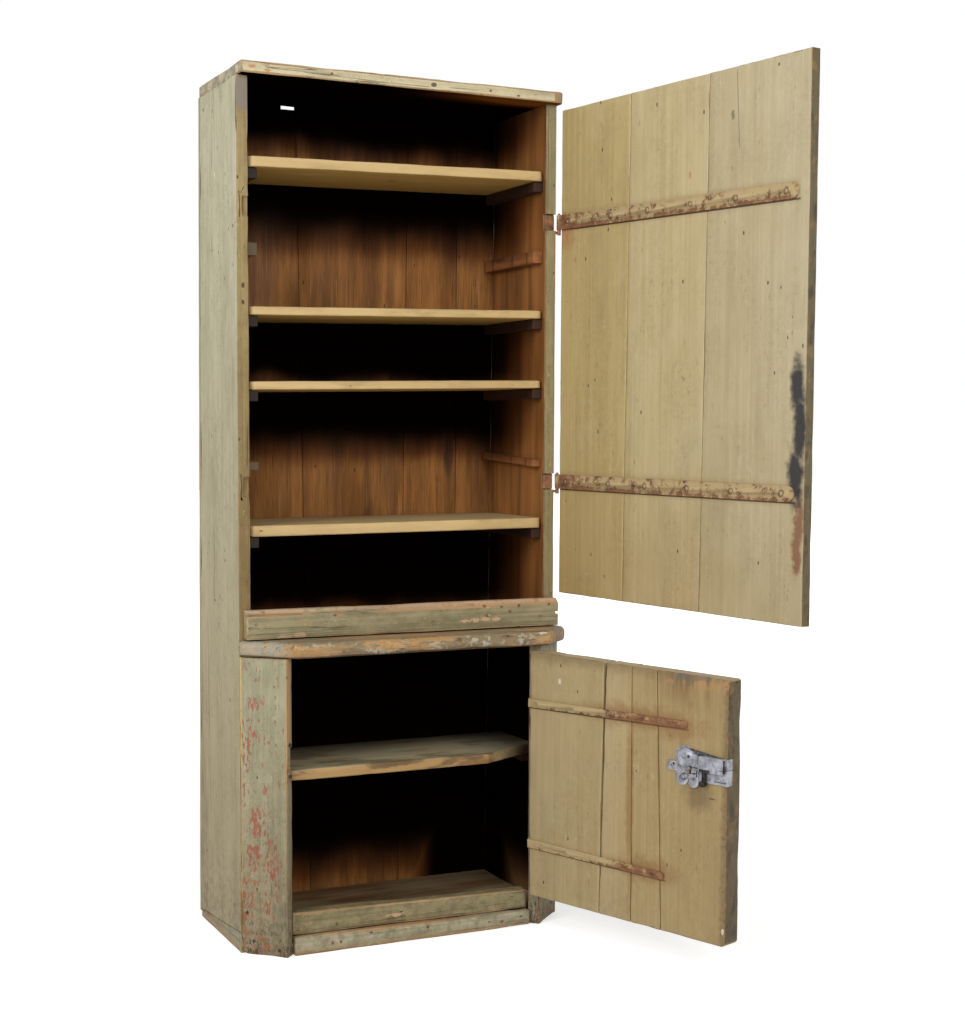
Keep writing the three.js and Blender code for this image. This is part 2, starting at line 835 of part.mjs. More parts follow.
function doorBoards(door, foot, head, prefix, finish) {
  const feet = [0, ...door.seamFootShares, 1];
  const heads = [0, ...door.seamHeadShares, 1];
  const footAt = (share) => foot + door.footRise * share;
  const headAt = (share) => head + door.headRise * share;
  const last = feet.length - 2;
  const boards = [];
  for (let index = 0; index <= last; index += 1) {
    const rightGap = index === 0 ? 0 : door.seamGap / 2;
    const leftGap = index === last ? 0 : door.seamGap / 2;
    const opened = index === 0 ? (door.openSeamGap ?? 0) : 0;
    const outline = [
      [doorX(door, feet[index]) - rightGap, footAt(feet[index])],
      [doorX(door, feet[index + 1]) + leftGap, footAt(feet[index + 1])],
      [doorX(door, heads[index + 1]) + leftGap + opened, headAt(heads[index + 1])],
      [doorX(door, heads[index]) - rightGap, headAt(heads[index])],
    ];
    const slab = frontSlab(outline, door.faceOffset - door.thickness, door.faceOffset);
    boards.push(piece(`${prefix}_board_${index + 1}`, slab, finish));
  }
  return boards;
}

// Strap leaf from a root line to a rounded tip, with its nail heads, on a door's inside face
function strapLeaf(door, straps, key, middle, length, root) {
  const drop = straps.drops[key];
  const tipRadius = straps.tipHeight / 2;
  const tipX = doorX(door, 0) - length + tipRadius;
  const tipZ = middle - drop;
  const corners = [
    [root, middle - straps.rootHeight / 2],
    [root, middle + straps.rootHeight / 2],
  ];
  for (let step = 0; step <= roundSteps / 2; step += 1) {
    const angle = Math.PI / 2 + (Math.PI * step) / (roundSteps / 2);
    corners.push([tipX + tipRadius * Math.cos(angle), tipZ + tipRadius * Math.sin(angle)]);
  }
  const back = door.faceOffset + seat;
  const leaf = frontSlab(corners, back, back + straps.thickness);
  const sunk = nailHeadHeight / 2;
  const heads = straps.nailShares.map((share) => {
    const x = doorX(door, 0) - share * length;
    const z = middle - drop * share;
    const head = domedHead(nailHeadRadius, nailHeadHeight + sunk);
    return head.translate(x, back + straps.thickness - sunk, z);
  });
  return [leaf, ...heads];
}

function strapEye(straps, middle) {
  const bottom = middle - straps.rootHeight / 2;
  const top = middle + straps.rootHeight / 2;
  const barrel = uprightRound(straps.eyeRadius, bottom, top, 0, 0);
  const bore = uprightRound(pintleRadius + pintleClearance, bottom - overrun, top + overrun, 0, 0);
  return { barrel, bore, bottom, top };
}

function upperDoorStrap(key) {
  const eye = strapEye(upperStraps, upperStrapHeights[key]);
  const leaf = strapLeaf(upperDoor, upperStraps, key, upperStrapHeights[key], upperStrapLengths[key], 0);
  const strap = cut(joined([...leaf, eye.barrel]), [eye.bore]);
  return piece(`upper_door_strap_${key}`, strap, finishes.rustyIron);
}

// Lower strap: it turns round the door's edge to reach an eye nearer the front
function lowerDoorStrap(key) {
  const eye = strapEye(lowerStraps, lowerStrapHeights[key]);
  const thickness = lowerStraps.thickness;
  const back = lowerDoor.faceOffset + seat + thickness;
  const root = doorX(lowerDoor, 0) + seat * 2 + thickness;
  const length = lowerStrapLengths[key];
  const leaf = strapLeaf(lowerDoor, lowerStraps, key, lowerStrapHeights[key], length, root);
  const web = boxBetween([root - thickness, -thickness / 2, eye.bottom], [root, back, eye.top]);
  const linkEnd = -pintleRadius - pintleClearance;
  const link = boxBetween([root - thickness, -thickness / 2, eye.bottom], [linkEnd, thickness / 2, eye.top]);
  const strap = cut(joined([...leaf, web, link, eye.barrel]), [eye.bore]);
  return piece(`lower_door_strap_${key}`, strap, finishes.rustyIron);
}

// Place along the lower door at a distance in from its free edge
function fromFreeEdge(inset) {
  return doorX(lowerDoor, 1) + inset;
}

function lockPlate() {
  const face = lowerDoor.faceOffset + seat;
  const front = face + lock.plateThickness;
  const edge = fromFreeEdge(0) - seat;
  const bottom = lockHeight - lock.plateHeight / 2;
  const top = lockHeight + lock.plateHeight / 2;
  const outerEdge = edge - lock.flangeThickness;
  const body = boxBetween([outerEdge, face, bottom], [fromFreeEdge(lock.plateLength), front, top]);
  const flange = boxBetween([outerEdge, face - lock.flangeDepth, bottom], [edge, front, top]);
  const lobeZ = lockHeight + lock.lobeRise;
  const lobe = deepRound(lock.lobeRadius, face, front, fromFreeEdge(lock.lobeInset), lobeZ);
  const earLeft = fromFreeEdge(lock.earInset - lock.earLength);
  const earMiddle = lockHeight - lock.earDrop;
  const ear = boxBetween(
    [earLeft - lock.earLength / 2, face, earMiddle - lock.earHeight / 2],
    [fromFreeEdge(lock.earInset), front, earMiddle + lock.earHeight / 2],
  );
  const footX = fromFreeEdge(lock.footLobeInset);
  const footZ = lockHeight - lock.footLobeDrop;
  const footLobe = deepRound(lock.footLobeRadius, face, front, footX, footZ);
  const ring = deepRound(lock.ringOuterRadius, face, front + lock.ringHeight, footX, footZ);
  const ringHole = deepRound(lock.ringInnerRadius, front, front + lock.ringHeight + overrun, footX, footZ);
  const pivotX = fromFreeEdge(lockLever.pivotInset);
  const pivotZ = lockHeight - lockLever.pivotDrop;
  const pivot = deepRound(lockLever.pivotRadius, face, front + lockLever.pivotHeight, pivotX, pivotZ);
  const holeX = fromFreeEdge(lock.earInset - lock.earLength / 2);
  const hole = deepRound(lock.earHoleRadius, face - overrun, front + overrun, holeX, earMiddle);
  const solid = joined([body, flange, lobe, ear, footLobe, ring, pivot]);
  return piece("lock_plate", cut(solid, [ringHole, hole]), finishes.silveredIron);
}

function lockCover() {
  const back = lowerDoor.faceOffset + seat + lock.plateThickness + seat;
  const profile = [
    new THREE.Vector2(0, 0),
    new THREE.Vector2(lock.coverRadius, 0),
    new THREE.Vector2(lock.coverRadius * lock.coverTopShare, lock.coverHeight),
    new THREE.Vector2(0, lock.coverHeight),
  ];
  const x = fromFreeEdge(lock.lobeInset);
  const z = lockHeight + lock.lobeRise;
  const dish = new THREE.LatheGeometry(profile, roundSteps).translate(x, back, z);
  const slot = boxBetween(
    [x - lock.coverSlotLength / 2, back + lock.coverHeight / 2, z - lock.coverSlotWidth / 2],
    [x + lock.coverSlotLength / 2, back + lock.coverHeight + overrun, z + lock.coverSlotWidth / 2],
  );
  return piece("lock_cover", cut(dish, [slot]), finishes.silveredIron);
}

// Lock case: a box open at both ends, with a slot underneath for the stem of the bolt's knob
function caseSpan() {
  const back = lowerDoor.faceOffset + seat + lock.plateThickness + seat;
  const low = [fromFreeEdge(lockCase.inset), back, lockHeight + lockCase.foot];
  const high = [
    fromFreeEdge(lockCase.inset + lockCase.length),
    back + lockCase.thickness,
    lockHeight + lockCase.foot + lockCase.height,
  ];
  return { low, high };
}

function lockCaseBox() {
  const { low, high } = caseSpan();
  const wall = lockCase.wall;
  const channel = boxBetween(
    [low[0] - overrun, low[1] + wall, low[2] + wall],
    [high[0] + overrun, high[1] - wall, high[2] - wall],
  );
  const slotFar = fromFreeEdge(lockBolt.knobInset) + lockBolt.stemWidth / 2 + seat * 2;
  const slot = boxBetween(
    [slotFar - lockCase.slotLength, low[1] + wall, low[2] - overrun],
    [slotFar, high[1] - wall, low[2] + wall + seat],
  );
  return piece("lock_case", cut(boxBetween(low, high), [channel, slot]), finishes.silveredIron);
}

function boltGroup() {
  const { low, high } = caseSpan();
  const middleY = (low[1] + high[1]) / 2;
  const bottom = low[2] + lockBolt.rise;
  const half = lockBolt.thickness / 2;
  const bar = boxBetween(
    [fromFreeEdge(lockBolt.inset), middleY - half, bottom],
    [fromFreeEdge(lockBolt.inset + lockBolt.length), middleY + half, bottom + lockBolt.height],
  );
  const knobX = fromFreeEdge(lockBolt.knobInset);
  const knobZ = lockHeight - lockBolt.knobDrop;
  const stem = boxBetween(
    [knobX - lockBolt.stemWidth / 2, middleY - half, knobZ],
    [knobX + lockBolt.stemWidth / 2, middleY + half, bottom + lockBolt.height / 2],
  );
  const knob = deepRound(lockBolt.knobRadius, middleY - half, middleY + lockBolt.knobHeight, knobX, knobZ);
  return piece("lock_bolt", joined([bar, stem, knob]), finishes.blackIron);
}

function leverPiece() {
  const back = lowerDoor.faceOffset + seat + lock.plateThickness + seat;
  const pivotX = fromFreeEdge(lockLever.pivotInset);
  const pivotZ = lockHeight - lockLever.pivotDrop;
  const half = lockLever.width / 2;
  const head = lockLever.headMargin;
  const foot = head - lockLever.length;
  const outline = [
    [-half, head],
    [-half, foot, half],
    [half, foot, half],
    [half, head],
  ];
  const tab = frontSlab(outline, 0, lockLever.thickness).translate(pivotX, back, pivotZ);
  const bore = deepRound(
    lockLever.pivotRadius + pintleClearance,
    back - overrun,
    back + lockLever.thickness + overrun,
    pivotX,
    pivotZ,
  );
  const cutZ = pivotZ - lockLever.length * lockLever.cutDropShare;
  const window = deepRound(lockLever.cutRadius, back - overrun, back + overrun, pivotX, cutZ);
  return piece("lock_lever", cut(tab, [bore, window]), finishes.silveredIron);
}

function hungDoor(door, axis, pieces) {
  const group = new THREE.Group();
  group.position.set(axis.x, axis.y, 0);
  group.rotation.z = door.openAngle;
  group.add(...pieces);
  return group;
}

function carcass() {
  const group = new THREE.Group();
  group.add(sideBoard(-1), sideBoard(1), skidStrip(-1), skidStrip(1), topBoard(), backBoards());
  group.add(waistRail(), waistBoard(), upperFloor(), cantedStile(-1), cantedStile(1));
  group.add(...keeperScrews(), bottomRail(), plinthBoard(), lowerFloor(), lowerShelf());
  group.add(...shelfNames.map(upperShelf), ...cleats());
  group.add(...pairNames.map(upperPintle));
  group.add(...pairNames.map(lowerPintle));
  return group;
}

const upperDoorGroup = hungDoor(upperDoor, upperAxis, [
  ...doorBoards(upperDoor, upperDoorFoot, upperDoorHead, "upper_door", finishes.doorPaint),
  ...pairNames.map(upperDoorStrap),
]);

const lowerDoorGroup = hungDoor(lowerDoor, lowerAxis, [
  ...doorBoards(lowerDoor, lowerDoorFoot, lowerDoorHead, "lower_door", finishes.doorPaint),
  ...pairNames.map(lowerDoorStrap),
  lockPlate(),
  lockCover(),
  lockCaseBox(),
  boltGroup(),
  leverPiece(),
]);

// The origin is on the floor, under the middle of the plinth's thickness and of the carcass
const cupboard = new THREE.Group();
cupboard.add(carcass(), upperDoorGroup, lowerDoorGroup);
cupboard.position.y = -plinthCentre;

const jellyCupboard = new THREE.Group();
jellyCupboard.add(cupboard);

console.log("hinge axes", {
  upper: [upperAxis.x, upperAxis.y - plinthCentre],
  lower: [lowerAxis.x, lowerAxis.y - plinthCentre],
});

export default jellyCupboard;
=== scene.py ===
# %% [markdown]
# # An old jelly cupboard in worn paint
# This is a tall country cupboard of sawn pine boards. It has two plank doors, loose shelves on
# cleats, forged strap hinges and one rim lock, and more than a century of paint, rust and grime.
# The frame holds every piece at its real size. This lesson dresses each piece: first its arrises
# are worn in the mesh, and then its finish is mixed from procedural nodes, so that the wear
# follows the wood wherever the piece is seen from.

# %% The frame
import json
import math

import bmesh
import bpy
import numpy
from mathutils import Matrix, Vector, noise


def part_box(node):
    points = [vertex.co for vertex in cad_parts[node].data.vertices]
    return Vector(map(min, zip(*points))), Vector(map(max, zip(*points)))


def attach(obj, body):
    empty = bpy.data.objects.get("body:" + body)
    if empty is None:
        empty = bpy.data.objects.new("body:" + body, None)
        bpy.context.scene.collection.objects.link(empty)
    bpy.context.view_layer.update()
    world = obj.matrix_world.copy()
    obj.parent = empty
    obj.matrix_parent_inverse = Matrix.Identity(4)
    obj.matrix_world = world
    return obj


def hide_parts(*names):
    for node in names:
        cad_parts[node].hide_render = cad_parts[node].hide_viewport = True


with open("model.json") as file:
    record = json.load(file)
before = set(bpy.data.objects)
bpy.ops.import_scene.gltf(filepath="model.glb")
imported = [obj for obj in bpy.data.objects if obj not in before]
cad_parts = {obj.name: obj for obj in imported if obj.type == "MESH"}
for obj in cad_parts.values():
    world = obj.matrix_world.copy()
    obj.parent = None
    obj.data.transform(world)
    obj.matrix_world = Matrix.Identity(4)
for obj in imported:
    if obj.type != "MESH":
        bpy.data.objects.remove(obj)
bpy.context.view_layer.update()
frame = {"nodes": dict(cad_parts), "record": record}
body_of_node = {
    node: body
    for body, nodes in frame["record"]["behaviour"]["bodies"].items()
    for node in nodes
}
slot_of_node = {row["node"]: row["material_slot"] for row in frame["record"]["subparts"]}
joint_rows = {row["name"]: row for row in frame["record"]["behaviour"]["joints"]}
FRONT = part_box("left_side_board")[0][1]

# %% [markdown]
# ## Camera
# The photograph was taken from the left front with a long lens, a little above the middle of the
# cupboard. The place, the turn and the lens below were solved from the cupboard's own straight
# edges. A small upward shift keeps the tall object in the frame.

# %% The camera
PHOTO_SIZE = (965, 1024)
SENSOR_SIZE = 36
LENS_PIXELS = 1675.3
SHIFT_PIXELS = 50
CAMERA_PLACE = (-1.5107, -3.5742, 1.1924)
CAMERA_YAW, CAMERA_PITCH, CAMERA_ROLL = (math.radians(angle) for angle in (25.29, 4.40, 0.25))

lens = bpy.data.cameras.new("camera")
lens.sensor_fit = "AUTO"
lens.sensor_width = SENSOR_SIZE
lens.lens = LENS_PIXELS * SENSOR_SIZE / max(PHOTO_SIZE)
lens.shift_y = SHIFT_PIXELS / max(PHOTO_SIZE)
camera = bpy.data.objects.new("camera", lens)
upright = Matrix.Rotation(math.pi / 2 - CAMERA_PITCH, 4, "X")
camera.matrix_world = (
    Matrix.Translation(CAMERA_PLACE)
    @ Matrix.Rotation(-CAMERA_YAW, 4, "Z")
    @ upright
    @ Matrix.Rotation(CAMERA_ROLL, 4, "Z")
)
bpy.context.scene.collection.objects.link(camera)
bpy.context.scene.camera = camera
print("lens", round(lens.lens, 2), "mm")

# %% [markdown]
# ## Nodes in words
# A finish is a tree of shader nodes. Writing each node out by hand hides the idea behind it, so
# this small helper gives each kind of node one short call. A call takes numbers or the outputs of
# other calls and gives back an output, so a recipe reads from top to bottom. Masks run from 0 to
# 1, and a layer lays one colour over another where its mask says so.


# %% Colours from a screen
def tint(red, green, blue):
    """A colour as a screen shows it, from 0 to 255, as the linear colour that a shader takes."""
    shares = [channel / 255 for channel in (red, green, blue)]
    return (*[share / 12.92 if share <= 0.04045 else ((share + 0.055) / 1.055) ** 2.4 for share in shares], 1)


print("a middle grey of 128 is", round(tint(128, 128, 128)[0], 3), "to a shader")


# %% Calls for single nodes
class Nodes:
    """The nodes of a material or of the world, and the calls that add to them."""

    def __init__(self, owner):
        owner.use_nodes = True
        self.tree = owner.node_tree
        self.tree.nodes.clear()
        self.made = {}

    def fill(self, node, inputs):
        for key, value in dict(inputs).items():
            if isinstance(value, bpy.types.NodeSocket):
                self.tree.links.new(value, node.inputs[key])
            elif value is not None:
                node.inputs[key].default_value = value

    def node(self, kind, inputs=(), output=0, **settings):
        made = self.tree.nodes.new(kind)
        for setting, value in settings.items():
            setattr(made, setting, value)
        self.fill(made, inputs)
        return made.outputs[output]

    def once(self, key, make):
        """Keeps what many layers share, such as the board's coordinates, as one node."""
        if key not in self.made:
            self.made[key] = make()
        return self.made[key]

    def math(self, operation, first, second=None):
        return self.node("ShaderNodeMath", {0: first, 1: second}, operation=operation)

    def chained(self, operation, values):
        result = values[0]
        for value in values[1:]:
            result = self.math(operation, result, value)
        return result

    def times(self, *values):
        return self.chained("MULTIPLY", values)

    def plus(self, *values):
        return self.chained("ADD", values)

    def most(self, *values):
        return self.chained("MAXIMUM", values)

    def minus(self, first, second):
        return self.math("SUBTRACT", first, second)

    def inverse(self, value):
        return self.minus(1.0, value)

    def span(self, value, low, high):
        """0 below low, 1 above high and a smooth change between, or the other way round."""
        inputs = {"Value": value, "From Min": low, "From Max": high}
        return self.node("ShaderNodeMapRange", inputs, interpolation_type="SMOOTHSTEP")

    def between(self, value, low, high, soft):
        rise = self.span(value, low - soft, low + soft)
        return self.times(rise, self.span(value, high + soft, high - soft))

    def scaled(self, vector, amounts):
        return self.node("ShaderNodeVectorMath", {0: vector, 1: amounts}, operation="MULTIPLY")

    def moved(self, vector, amounts):
        return self.node("ShaderNodeVectorMath", {0: vector, 1: amounts}, operation="ADD")

    def one_of(self, vector, which):
        return self.node("ShaderNodeSeparateXYZ", {0: vector}, output="XYZ".index(which))

    def noise(self, vector, detail=3.0, rough=0.55):
        inputs = {"Vector": vector, "Scale": 1.0, "Detail": detail, "Roughness": rough}
        return self.node("ShaderNodeTexNoise", inputs)

    def cells(self, vector, output=0):
        return self.node("ShaderNodeTexVoronoi", {"Vector": vector, "Scale": 1.0}, output, feature="F1")

    def blend(self, share, first, second, mode="MIX"):
        made = self.tree.nodes.new("ShaderNodeMix")
        made.data_type = "RGBA"
        made.blend_type = mode
        self.fill(made, {0: share, 6: first, 7: second})
        return made.outputs[2]

    def ramp(self, value, stops):
        made = self.tree.nodes.new("ShaderNodeValToRGB")
        self.tree.links.new(value, made.inputs[0])
        while len(made.color_ramp.elements) < len(stops):
            made.color_ramp.elements.new(1.0)
        for element, (position, colour) in zip(made.color_ramp.elements, stops):
            element.position = position
            element.color = colour
        return made.outputs[0]

    def close(self, shader, kind="ShaderNodeOutputMaterial"):
        made = self.tree.nodes.new(kind)
        self.tree.links.new(shader, made.inputs[0])


print(len([name for name in vars(Nodes) if name[0] != "_"]), "calls ready")

# %% Calls for a piece's finish
MARK_DEPTH = 0.02


class Recipe(Nodes):
    """One material, in the coordinates of the board or the iron that wears it."""

    def __init__(self, name):
        self.material = bpy.data.materials.new(name)
        super().__init__(self.material)

    def attribute(self, name, output):
        return self.once(name, lambda: self.node("ShaderNodeAttribute", output=output, attribute_name=name))

    def grain(self, along, across, shift=0.0):
        """The board's own coordinates, scaled along the grain and across it."""
        wood = self.attribute("grain", 1)
        return self.moved(self.scaled(wood, (along, across, across)), (shift, shift, shift))

    def grained(self, along, across, shift=0.0, detail=3.0, rough=0.55):
        """Noise that is stretched along the grain."""
        return self.noise(self.grain(along, across, shift), detail, rough)

    def edge(self):
        """1 on an arris, 0 in the field."""
        return self.attribute("edge", 2)

    def spot(self):
        """Metres on the piece, counted as its maker would: along, inward and up."""
        return self.attribute("spot", 1)

    def axis(self, which):
        return self.once("axis" + which, lambda: self.one_of(self.spot(), which))

    def facing(self, which):
        """How much the surface faces right (X), back (Y) or up (Z), from -1 to 1."""
        def make():
            return self.one_of(self.node("ShaderNodeNewGeometry", output=1), which)

        return self.once("facing" + which, make)

    def grit(self, size, detail=3.0, rough=0.65):
        """Noise with the same size in every direction, shared by the layers that ask for it."""
        def make():
            return self.noise(self.scaled(self.spot(), (1 / size,) * 3), detail, rough)

        return self.once(("grit", size), make)

    def broken(self, value, low, high, size, least, most):
        """A span that grit of some size breaks up."""
        return self.times(self.span(value, low, high), self.span(self.grit(size), least, most))

    def layers(self, colour, *coats):
        """Lays coats over a colour: each is a mask, a tone and how much of it takes."""
        for mask, tone, amount in coats:
            colour = self.blend(self.times(mask, amount), colour, tone)
        return colour

    def darkened(self, colour, share, tone):
        """Multiplies a colour by a tone where the share is high."""
        return self.blend(share, colour, (*tone, 1), "MULTIPLY")

    def mark(self, centre, reach, ragged=0.5, size=0.012, soft=0.3):
        """A ragged blot round a spot: 1 at its middle and 0 past its reach along each direction."""
        away = self.scaled(self.moved(self.spot(), [-c for c in centre]), [1 / r for r in reach])
        length = self.node("ShaderNodeVectorMath", {0: away}, output=1, operation="LENGTH")
        torn = self.times(self.minus(self.grit(size), 0.5), ragged * 3)
        return self.span(self.plus(length, torn), 1.0 + soft / 2, 1.0 - soft / 2)

    def marks(self, places, depth, reach, ragged=0.5, size=0.012, soft=0.3):
        """One mask for several blots of one size, given by their two places on the face."""
        return self.most(*[
            self.mark((first, depth, second), (reach[0], MARK_DEPTH, reach[1]), ragged, size, soft)
            for first, second in places
        ])

    def bump(self, height, distance):
        return self.node("ShaderNodeBump", {"Height": height, "Distance": distance})

    def finish(self, colour, roughness, normal=None, metallic=0.0, specular=0.35):
        shader = self.node(
            "ShaderNodeBsdfPrincipled",
            {
                "Base Color": colour, "Roughness": roughness, "Normal": normal,
                "Metallic": metallic, "Specular IOR Level": specular,
            },
        )
        self.close(shader)
        return self.material


print(len([name for name in vars(Recipe) if name[0] != "_"]), "more calls ready")

# %% [markdown]
# ## Floor and light
# A pale floor and a white studio keep the eye on the cupboard. The floor glows a little towards
# the lens, more so far away, so that no horizon shows, and it still takes a soft shadow near the
# feet. A large high lamp stands before the open front, so that each shelf shades the boards below
# it, and a second one at the left lights the side and the doors' inner faces.

# %% The floor
FLOOR_HALF = 30.0
FLOOR_GLOW = (0.50, 0.92)
GLOW_REACH = (1.0, 5.0)


def seen_by_lens(recipe):
    """1 for the rays that show the studio to the eye, directly or in a shiny surface."""
    rays = recipe.node("ShaderNodeLightPath").node.outputs
    return recipe.most(rays["Is Camera Ray"], rays["Is Glossy Ray"], rays["Is Transmission Ray"])


def studio_floor():
    recipe = Recipe("studio_floor")
    matte = recipe.node("ShaderNodeBsdfDiffuse", {"Color": (0.8, 0.8, 0.8, 1)})
    place = recipe.node("ShaderNodeTexCoord", output=3)
    away = recipe.node("ShaderNodeVectorMath", {0: place}, output=1, operation="LENGTH")
    far = recipe.span(away, *GLOW_REACH)
    level = recipe.plus(FLOOR_GLOW[0], recipe.times(far, FLOOR_GLOW[1] - FLOOR_GLOW[0]))
    strength = recipe.times(seen_by_lens(recipe), level)
    glow = recipe.node("ShaderNodeEmission", {"Color": (1, 1, 1, 1), "Strength": strength})
    recipe.close(recipe.node("ShaderNodeAddShader", {0: matte, 1: glow}))
    mesh = bpy.data.meshes.new("studio_floor")
    corners = [(x * FLOOR_HALF, y * FLOOR_HALF, 0) for x, y in ((-1, -1), (1, -1), (1, 1), (-1, 1))]
    mesh.from_pydata(corners, [], [(0, 1, 2, 3)])
    mesh.materials.append(recipe.material)
    floor = bpy.data.objects.new("studio_floor", mesh)
    bpy.context.scene.collection.objects.link(floor)


studio_floor()
print("floor", 2 * FLOOR_HALF, "metres wide")

# %% The sky and the lamps
SKY_LIGHT = 0.575
LAMP_TARGET = (0, 0, 1.0)
LAMPS = {
    "front_lamp": ((-0.5, -5.6, 3.7), 2.4, 138),
    "left_lamp": ((-5.2, -2.6, 3.3), 2.6, 164),
}


def studio_world():
    """White to the lens, and a weaker white light on the cupboard."""
    world = bpy.data.worlds.new("studio")
    bpy.context.scene.world = world
    sky = Nodes(world)
    levels = {"Value": seen_by_lens(sky), "To Min": SKY_LIGHT, "To Max": 1.0}
    strength = sky.node("ShaderNodeMapRange", levels)
    shader = sky.node("ShaderNodeBackground", {"Color": (1, 1, 1, 1), "Strength": strength})
    sky.close(shader, "ShaderNodeOutputWorld")


def studio_lamp(name, place, size, power):
    lamp = bpy.data.lights.new(name, "AREA")
    lamp.shape = "DISK"
    lamp.size = size
    lamp.energy = power
    made = bpy.data.objects.new(name, lamp)
    made.location = place
    made.rotation_euler = (Vector(LAMP_TARGET) - Vector(place)).to_track_quat("-Z", "Y").to_euler()
    bpy.context.scene.collection.objects.link(made)


studio_world()
for name, (place, size, power) in LAMPS.items():
    studio_lamp(name, place, size, power)
bpy.context.scene.view_settings.view_transform = "Standard"
print("studio lit by", len(LAMPS), "lamps")

# %% [markdown]
# ## Worn boards
# A hand-worked board has no sharp arris: hands, brooms and moves have rubbed and chipped it. Each
# board could be sculpted, but the whole cupboard is boards, so one function wears them all. It
# copies the frame's own mesh, rounds its arrises, insets each face so that the wear has rows of
# points to act on, cuts the board across the grain every few centimetres and then moves each
# point inwards by smooth noise, most where the board is most exposed. Three attributes are kept
# for the finishes: how near a point is to an arris, the board's coordinates along the grain, and
# the spot on the piece.

# %% Spots on the pieces
CANT = math.radians(43)
UPPER_OPEN, LOWER_OPEN = math.radians(101), math.radians(110)


def carcass_spot(place):
    """From the middle to the right, from the side boards' front edges inward, and up."""
    return (place.x, place.y - FRONT, place.z)


def measured_spot(node, along, inward, depth_from):
    """Counts from the node's own start along one direction and from one of its faces inward."""
    places = [vertex.co for vertex in frame["nodes"][node].data.vertices]
    start = min(place.dot(along) for place in places)
    face = depth_from(place.dot(inward) for place in places)
    return lambda place: (place.dot(along) - start, place.dot(inward) - face, place.z)


def stile_spot(node, side):
    """From the joint with the side board along the face, and inward from the face."""
    along = Vector((-side * math.cos(CANT), -math.sin(CANT), 0))
    inward = Vector((-side * math.sin(CANT), math.cos(CANT), 0))
    return measured_spot(node, along, inward, min)


def door_spot(node, angle):
    """From the hinge edge outward, and from the inside face, less than 0 in the wood."""
    along = Vector((-math.cos(angle), -math.sin(angle), 0))
    inward = Vector((-math.sin(angle), math.cos(angle), 0))
    return measured_spot(node, along, inward, max)


left_stile_spot = stile_spot("left_canted_stile", -1)
right_stile_spot = stile_spot("right_canted_stile", 1)
upper_door_spot = door_spot("upper_door_board_1", UPPER_OPEN)
lower_door_spot = door_spot("lower_door_board_1", LOWER_OPEN)
print("hinge line", [round(value, 3) for value in joint_rows["upper_door_hinge"]["pos_m"]])

# %% Slicing a board
FIRST_CUT = 0.012
CROSS_STEP = 0.045


def own_axes(mesh, yaw):
    """The board's directions, sorted: along the grain, across it and through its thickness."""
    turn = Matrix.Rotation(yaw, 3, "Z")
    spans = []
    for direction in (turn.col[0], turn.col[1], turn.col[2]):
        reach = [vertex.co.dot(direction) for vertex in mesh.vertices]
        spans.append((max(reach) - min(reach), direction.copy(), min(reach)))
    spans.sort(key=lambda span: -span[0])
    return spans


def cut_through(work, place, normal):
    geometry = work.verts[:] + work.edges[:] + work.faces[:]
    bmesh.ops.bisect_plane(work, geom=geometry, dist=1e-6, plane_co=place, plane_no=normal)


def slice_across(work, direction, low, length, step, seed):
    """Cuts the mesh beside its two ends and into slices a step apart, a little unevenly."""
    count = max(1, round(length / step))
    jitters = [0.3 * noise.noise(Vector((index * 1.7, seed, 0.5))) for index in range(1, count)]
    places = [length * (index + jitter) / count for index, jitter in enumerate(jitters, 1)]
    places = [FIRST_CUT] + [place for place in places if FIRST_CUT < place < length - FIRST_CUT]
    for place in places + [length - FIRST_CUT]:
        cut_through(work, direction * (low + place), direction)


print("first cut", FIRST_CUT, "metres from each end")

# %% Arrises and the points beside them
ARRIS_INSETS = (0.005, 0.006)
ARRIS_REACH = 0.008
SAME_POINT = 1e-5


def steady(face, width):
    """Whether a face can be inset by this width without folding over itself."""
    sides = [edge.calc_length() for edge in face.edges]
    return face.calc_area() / max(sides) > 3 * width and min(sides) > 0.8 * width


def inset_rings(work):
    """Rows of points beside each arris, for the wear to act on."""
    faces = work.faces[:]
    for width in ARRIS_INSETS:
        faces = [face for face in faces if steady(face, width)]
        if faces:
            bmesh.ops.inset_individual(work, faces=faces, thickness=width, use_even_offset=False)


def nearness(points, arrises, rounding):
    """1 on an arris and 0 from a finger's breadth away, for each point."""
    points = numpy.array(points)
    nearest = numpy.full(len(points), 1.0)
    for start, end in arrises:
        way = end - start
        share = numpy.clip((points - start) @ way / (way @ way), 0, 1)
        away = numpy.linalg.norm(points - start - share[:, None] * way, axis=1)
        nearest = numpy.minimum(nearest, away)
    return numpy.clip(1 - numpy.maximum(nearest - rounding, 0) / ARRIS_REACH, 0, 1)


def bevelled(work, edges, width):
    bmesh.ops.bevel(
        work, geom=edges, offset=width, segments=2, profile=0.5, affect="EDGES", clamp_overlap=True
    )


def clean_copy(node):
    """The frame's mesh without its triangles' inner lines."""
    work = bmesh.new()
    work.from_mesh(frame["nodes"][node].data)
    bmesh.ops.remove_doubles(work, verts=work.verts, dist=SAME_POINT)
    bmesh.ops.dissolve_limit(work, angle_limit=math.radians(1), verts=work.verts, edges=work.edges)
    return work


def sharp_edges(work, angle):
    """The outward arrises; an inner corner is left as it is, so that nothing grows into a notch."""
    pairs = [edge for edge in work.edges if len(edge.link_faces) == 2]
    return [edge for edge in pairs if edge.calc_face_angle_signed() > angle]


print("rows of points", ARRIS_INSETS, "metres wide beside each arris")


